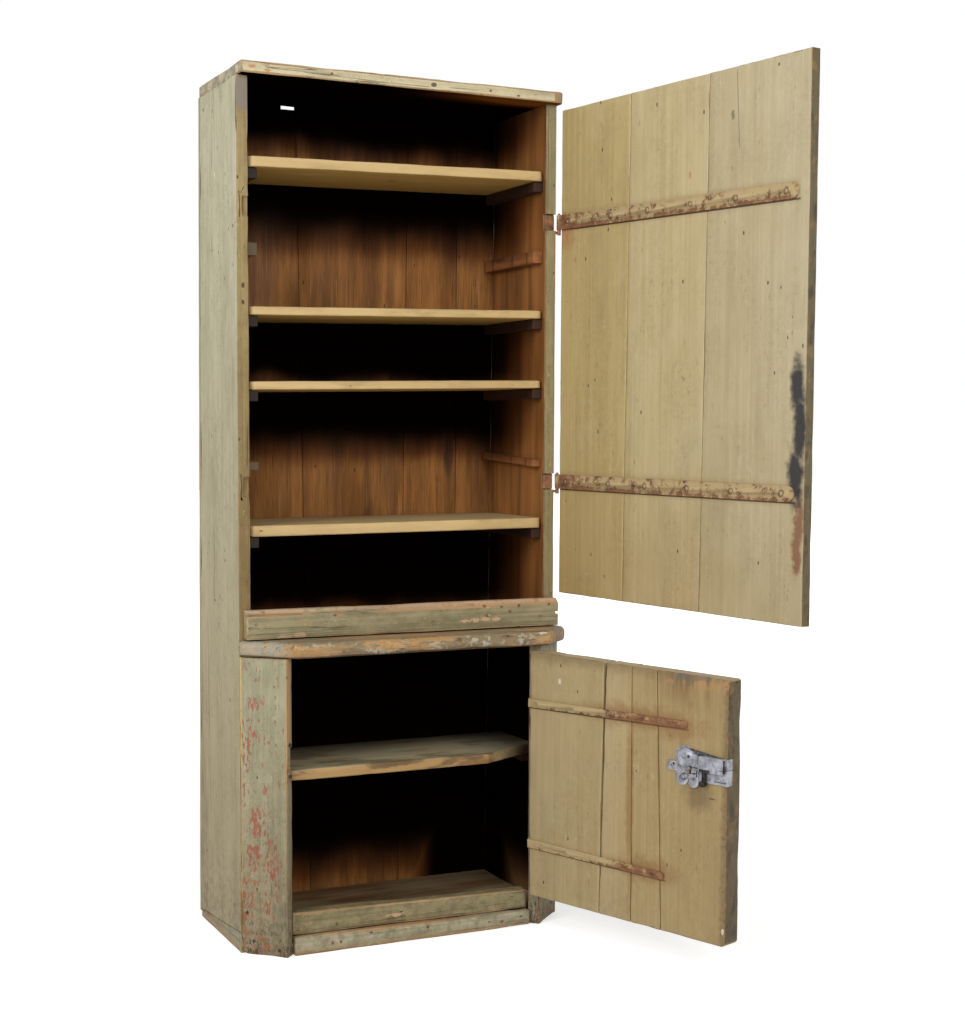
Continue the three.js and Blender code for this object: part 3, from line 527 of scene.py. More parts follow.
# %% Rounding a corner
def round_corner(work, spot, corner, radius):
    """Cuts a few lines beside a corner, then pulls all that lies past the arc back onto it."""
    place_along, place_up, side, up = corner
    origin = Vector(spot(Vector()))
    way = Vector([spot(Vector(unit))[0] - origin[0] for unit in ((1, 0, 0), (0, 1, 0), (0, 0, 1))])
    for share in (0.15, 0.4, 0.7, 1.0):
        cut_along = way * (place_along - side * radius * share - origin[0])
        cut_up = Vector((0, 0, place_up - up * radius * share))
        cut_through(work, cut_along, way)
        cut_through(work, cut_up, Vector((0, 0, 1)))
    for vertex in work.verts:
        here = spot(vertex.co)
        past_along = (here[0] - place_along) * side + radius
        past_up = (here[2] - place_up) * up + radius
        away = math.hypot(past_along, past_up)
        if past_along > 0 and past_up > 0 and away > radius:
            back = radius / away - 1
            vertex.co += way * (side * past_along * back) + Vector((0, 0, up * past_up * back))


print("corners can be rounded")

# %% Dents and chips
DENT_DEPTH = 0.0004
CHIPS_ALONG, CHIPS_ACROSS = 9, 22


def wear_away(work, directions, chips, edge_layer, limits, seed):
    """Moves each point inwards by smooth noise, but never outside the limits of its CAD piece."""
    work.normal_update()
    shift = Vector((seed * 3.1, seed * 1.7, seed * 2.3))
    scales = (CHIPS_ALONG, CHIPS_ACROSS, CHIPS_ACROSS)
    moves = []
    for vertex in work.verts:
        counts = [vertex.co.dot(way) * scale for way, scale in zip(directions, scales)]
        stretched = Vector(counts) + shift
        dent = 0.5 + 0.5 * noise.noise(stretched * 0.35)
        chip = max(0.0, noise.noise(stretched) - 0.05) + 0.6 * max(0.0, noise.noise(stretched * 3.1) - 0.15)
        moves.append(-vertex.normal * (DENT_DEPTH * dent + chips * vertex[edge_layer] ** 2 * chip))
    for vertex, move in zip(work.verts, moves):
        moved = vertex.co + move
        vertex.co = [min(max(value, least), most) for value, least, most in zip(moved, *limits)]


print("dents up to", DENT_DEPTH, "metres deep")

# %% From a working mesh to a piece
SMOOTH_BELOW = math.radians(48)


def lay_attribute(mesh, name, value_at):
    values = [value for vertex in mesh.vertices for value in value_at(vertex.co)]
    mesh.attributes.new(name, "FLOAT_VECTOR", "POINT").data.foreach_set("vector", values)


def mesh_of(work, name, spot, finish):
    mesh = bpy.data.meshes.new(name)
    work.to_mesh(mesh)
    work.free()
    lay_attribute(mesh, "spot", spot)
    mesh.shade_smooth()
    mesh.materials.append(finish)
    return mesh


def stand_in(mesh, node):
    """Puts a mesh in the place of a CAD node, on the same body."""
    mesh.set_sharp_from_angle(angle=SMOOTH_BELOW)
    piece = bpy.data.objects.new(mesh.name, mesh)
    bpy.context.scene.collection.objects.link(piece)
    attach(piece, body_of_node[node])
    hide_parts(node)


print("smooth below", round(math.degrees(SMOOTH_BELOW)), "degrees")

# %% Wearing a board
ARRIS_ANGLE = 0.4
SHORTEST_ARRIS = 0.0022
board_count = 0


def worn_board(
    node, finish, spot=carcass_spot, yaw=0.0, rounding=0.0014, chips=0.003, step=0.024, corners=()
):
    global board_count
    board_count += 1
    seed = board_count
    (length, along, low), (width, across, side), (_, through, _) = own_axes(frame["nodes"][node].data, yaw)
    work = clean_copy(node)
    edge_layer = work.verts.layers.float.new("edge")
    inset_rings(work)
    arris_edges = [edge for edge in sharp_edges(work, ARRIS_ANGLE) if edge.calc_length() > SHORTEST_ARRIS]
    arrises = [[numpy.array(vertex.co) for vertex in edge.verts] for edge in arris_edges]
    bevelled(work, arris_edges, rounding)
    slice_across(work, along, low, length, step, seed)
    if width > CROSS_STEP * 1.5:
        slice_across(work, across, side, width, CROSS_STEP, seed + 9)
    for vertex, near in zip(work.verts, nearness([vertex.co for vertex in work.verts], arrises, rounding)):
        vertex[edge_layer] = near
    for corner, radius in corners:
        round_corner(work, spot, corner, radius)
    directions = (along, across, through)
    wear_away(work, directions, chips, edge_layer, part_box(node), seed)
    mesh = mesh_of(work, "worn_" + node, spot, finish)
    offset = Vector((seed * 0.731, seed * 0.417, seed * 0.293))
    lay_attribute(mesh, "grain", lambda place: [place.dot(way) + far for way, far in zip(directions, offset)])
    stand_in(mesh, node)


print("arrises shorter than", SHORTEST_ARRIS, "metres stay as they are")

# %% [markdown]
# ## Wood under everything
# Paint, stain and grime all lie on pine, so the pine comes first. Real pine shows growth rings as
# long wavering bands, fine fibres along the grain and a knot here and there. The bands are noise
# stretched along the grain and folded by a second, slower noise, which costs little and never
# repeats.


# %% Pine
def pine_bands(recipe, shift=0.0):
    """0 to 1 across the growth rings of a plain-sawn board."""
    def make():
        slow = recipe.grained(0.8, 7.0, shift, 2.0)
        across = recipe.one_of(recipe.grain(1.0, 45.0, shift), "Y")
        wave = recipe.math("SINE", recipe.plus(recipe.times(slow, 22.0), across))
        return recipe.span(wave, -1.0, 1.0)

    return recipe.once(("bands", shift), make)


def pine_fibres(recipe, shift=0.0):
    return recipe.once(("fibres", shift), lambda: recipe.grained(9.0, 420.0, shift, 3.0, 0.7))


def pine_streaks(recipe, shift=0.0):
    """Slow streaks, a finger wide, that run the length of the board."""
    return recipe.once(("streaks", shift), lambda: recipe.grained(1.1, 55.0, shift, 4.0, 0.62))


def pine_knots(recipe, shift=0.0):
    """1 in the middle of each knot."""
    return recipe.span(recipe.cells(recipe.grain(2.1, 7.5, shift)), 0.16, 0.06)


def pine_colour(recipe, pale, dark, knot, shift=0.0, knots=0.8):
    fibres = recipe.span(pine_fibres(recipe, shift), 0.3, 0.7)
    streaks = recipe.span(pine_streaks(recipe, shift), 0.35, 0.65)
    bands = recipe.times(pine_bands(recipe, shift), 0.35)
    share = recipe.plus(bands, recipe.times(fibres, 0.25), recipe.times(streaks, 0.4))
    mixed = recipe.blend(share, pale, dark)
    return recipe.blend(recipe.times(pine_knots(recipe, shift), knots), mixed, knot)


print("pine ready")

# %% [markdown]
# ## Years of use
# What time does to a board is a handful of habits: arrises rub bare, flakes of paint fall, pocks
# and splits open and grime settles low; the black under the shelves is painted shade, kept apart.
# Each habit is a mask, so each finish picks its own share of them. Where a mask is high, the
# surface also dips or rises a little, so that light catches the lip of every flake.


# %% Rubbed, flaked, pocked and split
def rubbed(recipe, wear):
    """Bare wood along the arrises, ragged along the grain."""
    patchy = recipe.once("patchy", lambda: recipe.grained(9.0, 60.0, 2.2, 5.0, 0.62))
    spells = recipe.once("spells", lambda: recipe.grained(3.1, 3.1, 7.2, 2.0))
    lucky = recipe.plus(0.55, recipe.times(recipe.span(spells, 0.38, 0.60), 0.50))
    exposed = recipe.times(recipe.math("POWER", recipe.edge(), 2.0), lucky, 0.2 + 0.5 * wear)
    return recipe.span(recipe.plus(exposed, patchy), 0.86, 0.90)


def flakes(recipe, amount, shift=0.0):
    """Small flakes fallen from the field of a painted board."""
    small = recipe.grained(30.0, 80.0, shift, 4.0, 0.6)
    where = recipe.span(recipe.grained(2.6, 9.0, shift + 2.0, 2.0), 0.42, 0.60)
    limit = 0.70 - 0.08 * amount
    return recipe.times(recipe.span(small, limit, limit + 0.02), where)


def pocks(recipe, amount, shift=0.0):
    """Small dark dents and pricks, a few to a hand's breadth."""
    spread = recipe.grain(17.0, 34.0, shift)
    chance = recipe.one_of(recipe.cells(spread, 1), "X")
    kept = recipe.math("LESS_THAN", chance, amount)
    return recipe.times(recipe.span(recipe.cells(spread), 0.10, 0.05), kept)


def splits(recipe, amount, shift=0.0):
    """Fine cracks along the grain."""
    warp = recipe.grained(1.3, 90.0, 9.1 + shift, 2.0, 0.5)
    line = recipe.span(recipe.math("ABSOLUTE", recipe.minus(warp, 0.5)), 0.011, 0.003)
    where = recipe.grained(1.5, 12.0, 4.4 + shift, 2.0)
    return recipe.times(line, recipe.span(where, 0.62 - 0.12 * amount, 0.67 - 0.10 * amount))


print("four habits of wear")


# %% Grime, brush lines and the coat
def grime(recipe, amount, shift=0.0):
    """Soft dirt in clouds."""
    cloud = recipe.grained(3.5, 13.0, 11.0 + shift, 5.0, 0.65)
    return recipe.times(recipe.span(cloud, 0.48, 0.78), amount)


def brush_lines(recipe):
    return recipe.once("brush", lambda: recipe.grained(2.2, 130.0, 1.3, 3.0, 0.6))


def brushed_shade(recipe):
    """Slow changes of tone, brush lines along the board and a fine mottle, from 0 to 1."""
    def make():
        tone = recipe.grained(1.1, 4.5, 0.0, 4.0, 0.6)
        mottle = recipe.grained(26.0, 52.0, 5.1, 4.0, 0.65)
        parts = (recipe.times(tone, 0.45), recipe.times(brush_lines(recipe), 0.3), recipe.times(mottle, 0.25))
        return recipe.span(recipe.plus(*parts), 0.40, 0.60)

    return recipe.once("shade", make)


def brushed_coat(recipe, light, dark):
    return recipe.blend(brushed_shade(recipe), dark, light)


def painted_finish(recipe, colour, bare, holes, rough=0.58, specular=0.35):
    """Closes a painted finish: the coat stands a little proud of the bare wood, and holes sink."""
    brush = brush_lines(recipe)
    coat = recipe.times(recipe.inverse(bare), 0.5)
    wood = recipe.times(pine_fibres(recipe, 3.7), bare, 0.4)
    height = recipe.minus(recipe.plus(coat, wood, recipe.times(brush, 0.22)), recipe.times(holes, 1.1))
    roughness = recipe.plus(rough, recipe.times(bare, 0.2), recipe.times(brush, 0.12))
    return recipe.finish(colour, roughness, recipe.bump(height, 0.0010), specular=specular)


print("coat ready")

# %% [markdown]
# ## Painted shade in the compartments
# The wood under each shelf is painted red brown and then black, as shade where the light hardly
# reaches. The heights come from the frame, so that each band of painted shade hangs from its own
# shelf. The right of the lower stage, deep in, is painted dark as the open lower door's shadow.

# %% Painted shade
SHADE_DROPS = {
    "top_board": (0.050, 0.165),
    "shelf_1": (0.035, 0.210),
    "shelf_2": (0.100, 0.180),
    "shelf_3": (0.070, 0.215),
    "shelf_4": (0.165, 0.270),
    "upper_floor_board": (0.290, 0.330),
    "lower_shelf": (0.225, 0.400),
}
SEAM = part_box("back_board_4")[0][0]
BLACK = tint(9, 3, 1)


def painted_shade(recipe):
    """1 under each shelf as far as its first drop, and 0 below its second one."""
    def make():
        slow = recipe.noise(recipe.scaled(recipe.spot(), (7.0, 7.0, 5.0)), 2.0, 0.5)
        height = recipe.plus(recipe.axis("Z"), recipe.times(recipe.minus(slow, 0.5), 0.07))
        bands = []
        for node, (full, none) in SHADE_DROPS.items():
            low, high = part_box(node)
            fade = recipe.span(height, low[2] - none, low[2] - full)
            under = recipe.math("LESS_THAN", recipe.axis("Z"), (low[2] + high[2]) / 2)
            bands.append(recipe.times(fade, under))
        # Painted shadow of the open lower door: the right of the lower stage, deep in, goes dark too.
        beside = recipe.span(recipe.axis("X"), SEAM - 0.13, SEAM - 0.03)
        corner = recipe.times(beside, recipe.span(height, 0.64, 0.60))
        deep = recipe.span(recipe.axis("Y"), 0.12, 0.24)
        return recipe.most(*bands, recipe.times(corner, deep))

    return recipe.once("painted_shade", make)


def shade_darkened(recipe, wood, share):
    """Painted shade turns the wood a deep red brown first and then black."""
    browned = recipe.darkened(wood, recipe.span(share, 0.0, 0.5), (0.55, 0.42, 0.26))
    return recipe.blend(recipe.span(share, 0.10, 1.0), browned, BLACK)


print("soot under", len(SHADE_DROPS), "boards")

# %% [markdown]
# ## The painted carcass
# The outside was brushed grey green over a coat of red over bare pine. One function lays the
# coat, the bare wood, the holes and the dirt that all these boards share. Each board then gets its
# own tone and its own marks, at the spots where this cupboard really has them.

# %% Paint, wear and dirt together
BARE_WOOD = (tint(180, 149, 108), tint(134, 104, 68), tint(90, 62, 40))
HOLE, GRIME, LOW_DIRT = tint(50, 38, 27), tint(98, 88, 68), tint(88, 76, 56)
RED_COAT, ORANGE, RUST_STAIN = tint(152, 84, 62), tint(176, 122, 78), tint(140, 88, 56)
WHITISH = tint(214, 208, 188)


def aged(recipe, coat, wear=0.5, fallen=0.3, pocked=0.3, split=0.5, dirty=0.3, low_dirt=0.4, mottled=1.0):
    """The colour of a painted board, and its masks of bare wood and of holes."""
    uneven = recipe.times(recipe.span(recipe.grained(5.0, 9.0, 3.9, 3.0), 0.34, 0.62), mottled)
    for size, tone in ((0.0045, (0.89, 0.87, 0.83)), (0.016, (0.90, 0.90, 0.88))):
        share = recipe.times(recipe.span(recipe.grit(size), 0.60, 0.38), uneven)
        coat = recipe.darkened(coat, share, tone)
    bare = recipe.most(rubbed(recipe, wear), flakes(recipe, fallen))
    holes = recipe.most(pocks(recipe, pocked), splits(recipe, split))
    low = recipe.broken(recipe.axis("Z"), 0.34, 0.02, 0.02, 0.42, 0.64)
    chips = recipe.grained(42.0, 120.0, 12.3, 3.0, 0.6)
    colour = recipe.layers(
        recipe.blend(bare, coat, pine_colour(recipe, *BARE_WOOD, shift=3.7)),
        (recipe.times(recipe.span(chips, 0.64, 0.69), uneven), HOLE, 0.45),
        (recipe.times(recipe.span(chips, 0.36, 0.31), uneven), WHITISH, 0.30),
        (holes, HOLE, 0.8),
        (grime(recipe, dirty), GRIME, 1.0),
        (low, LOW_DIRT, low_dirt),
    )
    return colour, bare, holes


def stained_wood(recipe, pale, dark, shift=1.1):
    """Unpainted pine inside the cupboard, gone red brown in streaks."""
    wood = pine_colour(recipe, pale, dark, tint(54, 32, 18), shift)
    blots = recipe.span(recipe.grained(1.6, 15.0, 2.0 + shift, 5.0, 0.62), 0.44, 0.72)
    return recipe.layers(wood, (blots, tint(66, 40, 22), 0.65), (splits(recipe, 0.5, 3.0), BLACK, 0.6))


print("wear ready")

# %% Side boards
LEFT_FACE = -0.4
SIDE_DENTS = (
    (0.027, 1.651), (0.194, 1.613), (0.258, 1.945), (0.107, 0.897),
    (0.191, 0.797), (0.075, 0.576), (0.277, 0.177), (0.047, 0.101),
)


def side_marks(recipe, places, along, up):
    """Blots on the left side board's outer face, given by their depth and height."""
    reach = (MARK_DEPTH, along, up)
    return recipe.most(*[recipe.mark((LEFT_FACE, y, z), reach, 0.5, 0.008) for y, z in places])


def side_finish(name, side, edge_light, edge_dark):
    recipe = Recipe(name)
    x, y, z = (recipe.axis(which) for which in "XYZ")
    front = recipe.span(recipe.facing("Y"), -0.5, -0.8)
    outer_coat = brushed_coat(recipe, tint(188, 182, 154), tint(166, 160, 130))
    coat = recipe.blend(front, outer_coat, brushed_coat(recipe, edge_light, edge_dark))
    colour, bare, holes = aged(recipe, coat, wear=0.45, fallen=0.25, pocked=0.8, split=0.7, dirty=0.35)
    dents = side_marks(recipe, SIDE_DENTS, 0.0035, 0.004)
    long_split = recipe.mark((-0.399, 0.002, 1.912), (0.01, 0.0016, 0.06), 0.2)
    grey_patch = recipe.times(front, recipe.between(z, 1.905, 1.976, 0.006), recipe.span(x, 0.0, -0.1))
    edge_knots = recipe.marks(((-0.3855, 1.519), (-0.386, 1.4815)), 0.0, (0.004, 0.006))
    right_crack = recipe.times(
        front, recipe.between(x, 0.3738, 0.3749, 0.0004), recipe.span(recipe.grit(0.05), 0.35, 0.5)
    )
    rust_run = recipe.times(recipe.span(x, 0.392, 0.398), recipe.between(z, 1.60, 1.70, 0.02), front)
    colour = recipe.layers(
        colour,
        (side_marks(recipe, ((0.168, 1.782),), 0.004, 0.007), WHITISH, 0.9),
        (recipe.most(dents, long_split, edge_knots), HOLE, 0.85),
        (grey_patch, tint(120, 112, 108), 0.7),
        (right_crack, BLACK, 0.8),
        (rust_run, RUST_STAIN, 0.6),
    )
    colour = recipe.darkened(colour, recipe.span(z, 1.85, 0.15), (0.66, 0.58, 0.47))
    # The inner faces get the painted shade under each shelf, more of it deeper in and all over the lower
    # stage, and lose their shine where it lies.
    deep = recipe.plus(0.24, recipe.times(recipe.span(y, 0.04, 0.30), 0.66))
    painted_shade_share = recipe.times(painted_shade(recipe), recipe.most(deep, recipe.span(z, 0.70, 0.66)))
    inner_stain_and_shade = stained_wood(recipe, tint(162, 108, 56), tint(110, 68, 31))
    inner_stain_and_shade = recipe.layers(inner_stain_and_shade, (recipe.span(z, 0.66, 0.62), tint(82, 66, 46), 0.7))
    inner_stain_and_shade = shade_darkened(recipe, inner_stain_and_shade, painted_shade_share)
    facing = recipe.times(recipe.facing("X"), side)
    inner_arris = recipe.times(recipe.span(facing, -0.05, -0.2), recipe.span(y, 0.05, 0.1))
    inside = recipe.most(recipe.span(facing, -0.4, -0.75), inner_arris)
    colour = recipe.blend(inside, colour, inner_stain_and_shade)
    shine = recipe.times(recipe.inverse(recipe.times(inside, painted_shade_share)), 0.35)
    return painted_finish(recipe, colour, bare, recipe.most(holes, dents, long_split), specular=shine)


left_side_finish = side_finish("left_side_finish", -1, tint(156, 136, 92), tint(130, 110, 72))
right_side_finish = side_finish("right_side_finish", 1, tint(160, 146, 108), tint(134, 122, 88))
print("sides painted")

# %% Top board
TOP_FACE = -0.022
TOP_NAILS = ((0.2136, 1.9941), (-0.1818, 1.9963))


def top_finish():
    recipe = Recipe("top_finish")
    x = recipe.axis("X")
    coat = brushed_coat(recipe, tint(208, 196, 160), tint(182, 170, 136))
    colour, bare, holes = aged(recipe, coat, wear=0.75, fallen=0.35, pocked=0.4, split=0.9, dirty=0.4)
    left_end = recipe.broken(x, -0.382, -0.391, 0.03, 0.36, 0.56)
    knot = recipe.marks(((0.068, 1.9947),), TOP_FACE, (0.007, 0.005))
    nails = recipe.marks(TOP_NAILS, TOP_FACE, (0.0028, 0.0028), 0.2)
    orange = recipe.marks(((-0.3685, 1.995), (-0.332, 1.990)), TOP_FACE, (0.009, 0.004), 0.8)
    under = recipe.span(recipe.facing("Z"), -0.6, -0.85)
    # The underside is painted dark as shade, and a patch near its front middle is left lighter as its lit
    # part.
    clear = recipe.times(recipe.span(x, -0.05, 0.32), recipe.span(recipe.axis("Y"), 0.10, 0.0))
    shade_below_top = recipe.most(recipe.inverse(clear), 0.25)
    beneath = shade_darkened(recipe, stained_wood(recipe, tint(158, 98, 42), tint(110, 66, 26)), shade_below_top)
    colour = recipe.layers(
        colour,
        (left_end, tint(120, 112, 100), 0.75),
        (orange, ORANGE, 0.8),
        (recipe.most(knot, nails), HOLE, 0.85),
        (under, beneath, 1.0),
    )
    shine = recipe.times(recipe.inverse(under), 0.35)
    return painted_finish(recipe, colour, bare, recipe.most(holes, nails), specular=shine)


top_board_finish = top_finish()
print("top painted")

# %% Canted stiles
LEFT_THICKNESS, RIGHT_THICKNESS = 0.028, 0.032
LEFT_STILE_REDS = (
    (0.058, 0.587), (0.036, 0.577), (0.027, 0.513), (0.061, 0.385), (0.044, 0.337), (0.088, 0.136),
)
WIDE_STILE_REDS = ((0.031, 0.227), (0.082, 0.210), (0.040, 0.300))
STILE_NAILS = ((0.016, 0.097), (0.032, 0.032), (0.096, 0.0155))


def stile_finish(name, thickness, redness):
    recipe = Recipe(name)
    along, inward, z = (recipe.axis(which) for which in "XYZ")
    coat = brushed_coat(recipe, tint(167, 162, 134), tint(142, 137, 109))
    colour, bare, holes = aged(recipe, coat, wear=0.8, fallen=0.55, pocked=0.6, split=0.9, dirty=0.4)
    small = recipe.grained(62.0, 150.0, 6.1, 4.0, 0.62)
    slow = recipe.grained(7.0, 18.0, 8.8, 3.0, 0.6)
    low = recipe.span(z, 0.66, 0.12)
    left = recipe.span(along, 0.115, 0.03)
    redder = recipe.times(low, left, 0.085 * redness)
    chance = recipe.plus(recipe.times(small, 0.62), recipe.times(slow, 0.38), redder)
    reds = recipe.span(chance, 0.590, 0.602)
    red_marks = recipe.times(recipe.span(small, 0.44, 0.50), recipe.most(
        recipe.marks(LEFT_STILE_REDS, 0.0, (0.006, 0.010), 1.0, 0.009),
        recipe.marks(WIDE_STILE_REDS, 0.0, (0.014, 0.030), 1.2, 0.012),
    ))
    joint = recipe.between(along, 0.0006, 0.0042, 0.0008)
    joint_line = recipe.times(joint, recipe.span(recipe.grit(0.03), 0.34, 0.48))
    foot = recipe.broken(z, 0.055, 0.0, 0.012, 0.38, 0.55)
    nails = recipe.marks(STILE_NAILS, 0.0, (0.004, 0.004), 0.3)
    knot = recipe.marks(((0.0645, 0.022),), 0.0, (0.007, 0.006), 0.6)
    behind = recipe.span(inward, thickness - 0.004, thickness - 0.0015)
    colour = recipe.layers(
        colour,
        (reds, recipe.blend(recipe.span(slow, 0.40, 0.60), tint(176, 118, 78), RED_COAT), 0.8),
        (recipe.times(red_marks, redness), tint(156, 94, 74), 0.85),
        (recipe.times(recipe.span(small, 0.40, 0.34), low), tint(104, 98, 84), 0.5),
        (joint_line, tint(196, 168, 104), 0.8),
        (foot, tint(118, 92, 62), 0.7),
        (recipe.times(recipe.span(z, 0.12, 0.01), recipe.span(small, 0.46, 0.40)), tint(62, 52, 40), 0.8),
        (knot, tint(168, 104, 58), 0.9),
        (nails, HOLE, 0.9),
        (behind, tint(40, 24, 12), 0.95),
    )
    colour = recipe.darkened(colour, recipe.span(z, 0.66, 0.08), (0.72, 0.66, 0.62))
    return painted_finish(recipe, colour, recipe.most(bare, reds), recipe.most(holes, nails))


left_stile_finish = stile_finish("left_stile_finish", LEFT_THICKNESS, 1.0)
right_stile_finish = stile_finish("right_stile_finish", RIGHT_THICKNESS, 0.35)
print("stiles painted")

# %% One way to finish a rail
RAIL_NAILS = (
    (-0.368, 0.760), (0.201, 0.779), (0.207, 0.755), (0.2685, 0.763),
    (0.293, 0.777), (0.3745, 0.777), (0.351, 0.749),
)
RAIL_PINKS = (
    (0.150, 0.746), (0.178, 0.747), (0.205, 0.748), (0.230, 0.747), (-0.265, 0.7315), (-0.301, 0.729),
)
PLINTH_NAILS = ((-0.204, 0.020), (-0.184, 0.020), (0.034, 0.028), (0.229, 0.017))
BOTTOM_HOLES = ((-0.188, 0.058), (-0.027, 0.066), (-0.283, 0.058))


def rail_finish(name, light, dark, depth, holes_at=(), pinks=(), wear=0.95, foot=None, top=None):
    """A rail seen from the front: its own holes, its bare places and a worn foot or top."""
    recipe = Recipe(name)
    z = recipe.axis("Z")
    coat = brushed_coat(recipe, light, dark)
    colour, bare, holes = aged(recipe, coat, wear=wear, fallen=0.9, pocked=0.7, split=1.0, dirty=0.45)
    spots = [(bare, tint(184, 148, 112), 0.25)]
    if holes_at:
        nails = recipe.marks(holes_at, depth, (0.0035, 0.0035), 0.4)
        spots.append((nails, HOLE, 0.85))
        holes = recipe.most(holes, nails)
    if pinks:
        spots.append((recipe.marks(pinks, depth, (0.016, 0.0045), 1.0), tint(194, 158, 128), 0.85))
    if foot:
        worn = recipe.broken(z, foot, foot * 0.3, 0.015, 0.36, 0.52)
        spots.append((worn, tint(150, 118, 82), 0.9))
    if top:
        bevel = recipe.broken(z, top - 0.012, top - 0.004, 0.02, 0.34, 0.5)
        spots.append((bevel, tint(190, 160, 132), 0.7))
    return painted_finish(recipe, recipe.layers(colour, *spots), bare, holes)


print(len(RAIL_NAILS), "nails in the waist rail")

# %% The rails, the plinth and the skids
RAIL_FACE, BOTTOM_FACE, PLINTH_FACE = -0.028, -0.0586, -0.0741
waist_rail_finish = rail_finish(
    "waist_rail_finish", tint(157, 147, 112), tint(124, 115, 85), RAIL_FACE,
    RAIL_NAILS, RAIL_PINKS, top=0.791,
)
bottom_rail_finish = rail_finish(
    "bottom_rail_finish", tint(148, 137, 100), tint(117, 107, 75), BOTTOM_FACE,
    BOTTOM_HOLES, ((-0.0435, 0.063),), wear=0.9,
)
plinth_finish = rail_finish(
    "plinth_finish", tint(172, 165, 139), tint(142, 134, 106), PLINTH_FACE,
    PLINTH_NAILS, wear=0.8, foot=0.016,
)
skid_finish = rail_finish("skid_finish", tint(160, 152, 124), tint(128, 120, 94), 0.0, wear=0.8, foot=0.02)
print("rails painted")

# %% Waist board
WAIST_FACE = -0.102


def waist_board_finish():
    recipe = Recipe("waist_board_finish")
    x = recipe.axis("X")
    wood = pine_colour(recipe, tint(212, 172, 118), tint(164, 124, 76), tint(96, 62, 38), 1.7)
    cloud = recipe.grained(6.0, 26.0, 3.1, 5.0, 0.68)
    dirt = recipe.span(cloud, 0.42, 0.58)
    crust = recipe.span(recipe.grained(40.0, 60.0, 5.5, 4.0, 0.7), 0.52, 0.60)
    left_cant = recipe.broken(x, -0.295, -0.335, 0.014, 0.34, 0.52)
    right_end = recipe.broken(x, 0.345, 0.375, 0.02, 0.34, 0.54)
    between_crusts = recipe.times(recipe.span(crust, 0.3, 0.0), recipe.span(cloud, 0.50, 0.42), 0.5)
    specks = recipe.span(recipe.grained(24.0, 90.0, 9.4, 4.0, 0.65), 0.58, 0.64)
    scratch = recipe.marks(((0.323, 0.7165),), WAIST_FACE, (0.012, 0.0025), 0.3)
    orange = recipe.marks(((0.3285, 0.695),), WAIST_FACE, (0.007, 0.005), 0.6)
    top = recipe.span(recipe.facing("Z"), 0.55, 0.9)
    under = recipe.span(recipe.facing("Z"), -0.5, -0.8)
    colour = recipe.layers(
        wood,
        (dirt, tint(106, 98, 80), 0.8),
        (recipe.times(crust, dirt), tint(182, 176, 156), 0.75),
        (between_crusts, tint(84, 66, 48), 0.6),
        (specks, tint(58, 46, 34), 0.6),
        (recipe.times(top, recipe.span(cloud, 0.34, 0.5)), tint(128, 116, 92), 0.6),
        (left_cant, tint(156, 151, 134), 0.7),
        (right_end, tint(116, 116, 108), 0.65),
        (orange, ORANGE, 0.8),
        (scratch, tint(216, 204, 184), 0.7),
        (splits(recipe, 1.0), HOLE, 0.7),
        (pocks(recipe, 0.6), HOLE, 0.7),
        (under, tint(70, 48, 30), 0.8),
    )
    fibres = recipe.times(pine_fibres(recipe, 1.7), 0.5)
    height = recipe.plus(recipe.times(crust, 0.6), fibres, recipe.times(dirt, 0.4))
    return recipe.finish(colour, recipe.plus(0.6, recipe.times(cloud, 0.25)), recipe.bump(height, 0.0012))


waist_finish = waist_board_finish()
print("waist board worn")

# %% [markdown]
# ## Bare and stained wood inside
# Nobody painted the inside. The back boards went red brown, streaked where each board's own grain
# took the stain, and painted shade turns them black under each shelf. The loose shelves stayed
# pale at their rubbed front edges, olive brown below and dusty on top, with painted shade at the back of
# their tops.


# %% Back boards and floors
def inside_finish(name, pale, dark, shade_amount=1.0, dust=0.0):
    recipe = Recipe(name)
    wood = stained_wood(recipe, pale, dark)
    outside = recipe.span(recipe.facing("Y"), 0.5, 0.8)
    far_out = recipe.math("GREATER_THAN", recipe.math("ABSOLUTE", recipe.axis("X")), 0.38)
    sideways = recipe.math("GREATER_THAN", recipe.math("ABSOLUTE", recipe.facing("X")), 0.5)
    end = recipe.times(far_out, sideways)
    unseen = recipe.most(outside, end)
    # Painted shade under each shelf, kept off the outer and end faces, with less of it on the floor boards;
    # the shine goes where it lies.
    painted_shade_share = recipe.times(painted_shade(recipe), recipe.inverse(unseen), shade_amount)
    clouds = recipe.span(recipe.grained(2.2, 8.0, 6.6, 5.0, 0.62), 0.40, 0.66)
    scratches = recipe.grained(4.0, 300.0, 5.7, 3.0, 0.6)
    dusty = recipe.times(recipe.span(recipe.facing("Z"), 0.6, 0.9), recipe.inverse(clouds))
    colour = recipe.layers(
        wood,
        (recipe.span(pine_fibres(recipe, 1.1), 0.52, 0.66), tint(62, 38, 20), 0.40),
        (recipe.span(scratches, 0.60, 0.68), tint(190, 150, 98), 0.35),
        (clouds, tint(84, 52, 28), 0.45),
        (dusty, tint(150, 134, 106), dust),
        (pocks(recipe, 0.4), BLACK, 0.7),
        (outside, tint(128, 112, 88), 0.55),
        (end, tint(150, 145, 118), 0.85),
    )
    colour = shade_darkened(recipe, colour, painted_shade_share)
    height = recipe.plus(recipe.times(pine_fibres(recipe, 1.1), 0.5), recipe.times(clouds, 0.3))
    shine = recipe.times(recipe.inverse(painted_shade_share), 0.3)
    roughness = recipe.plus(0.55, recipe.times(clouds, 0.25))
    return recipe.finish(colour, roughness, recipe.bump(height, 0.0009), specular=shine)


back_finish = inside_finish("back_finish", tint(172, 116, 54), tint(120, 74, 29))
floor_finish = inside_finish("floor_finish", tint(150, 120, 80), tint(92, 68, 42), shade_amount=0.2, dust=0.6)
print("back and floors stained")


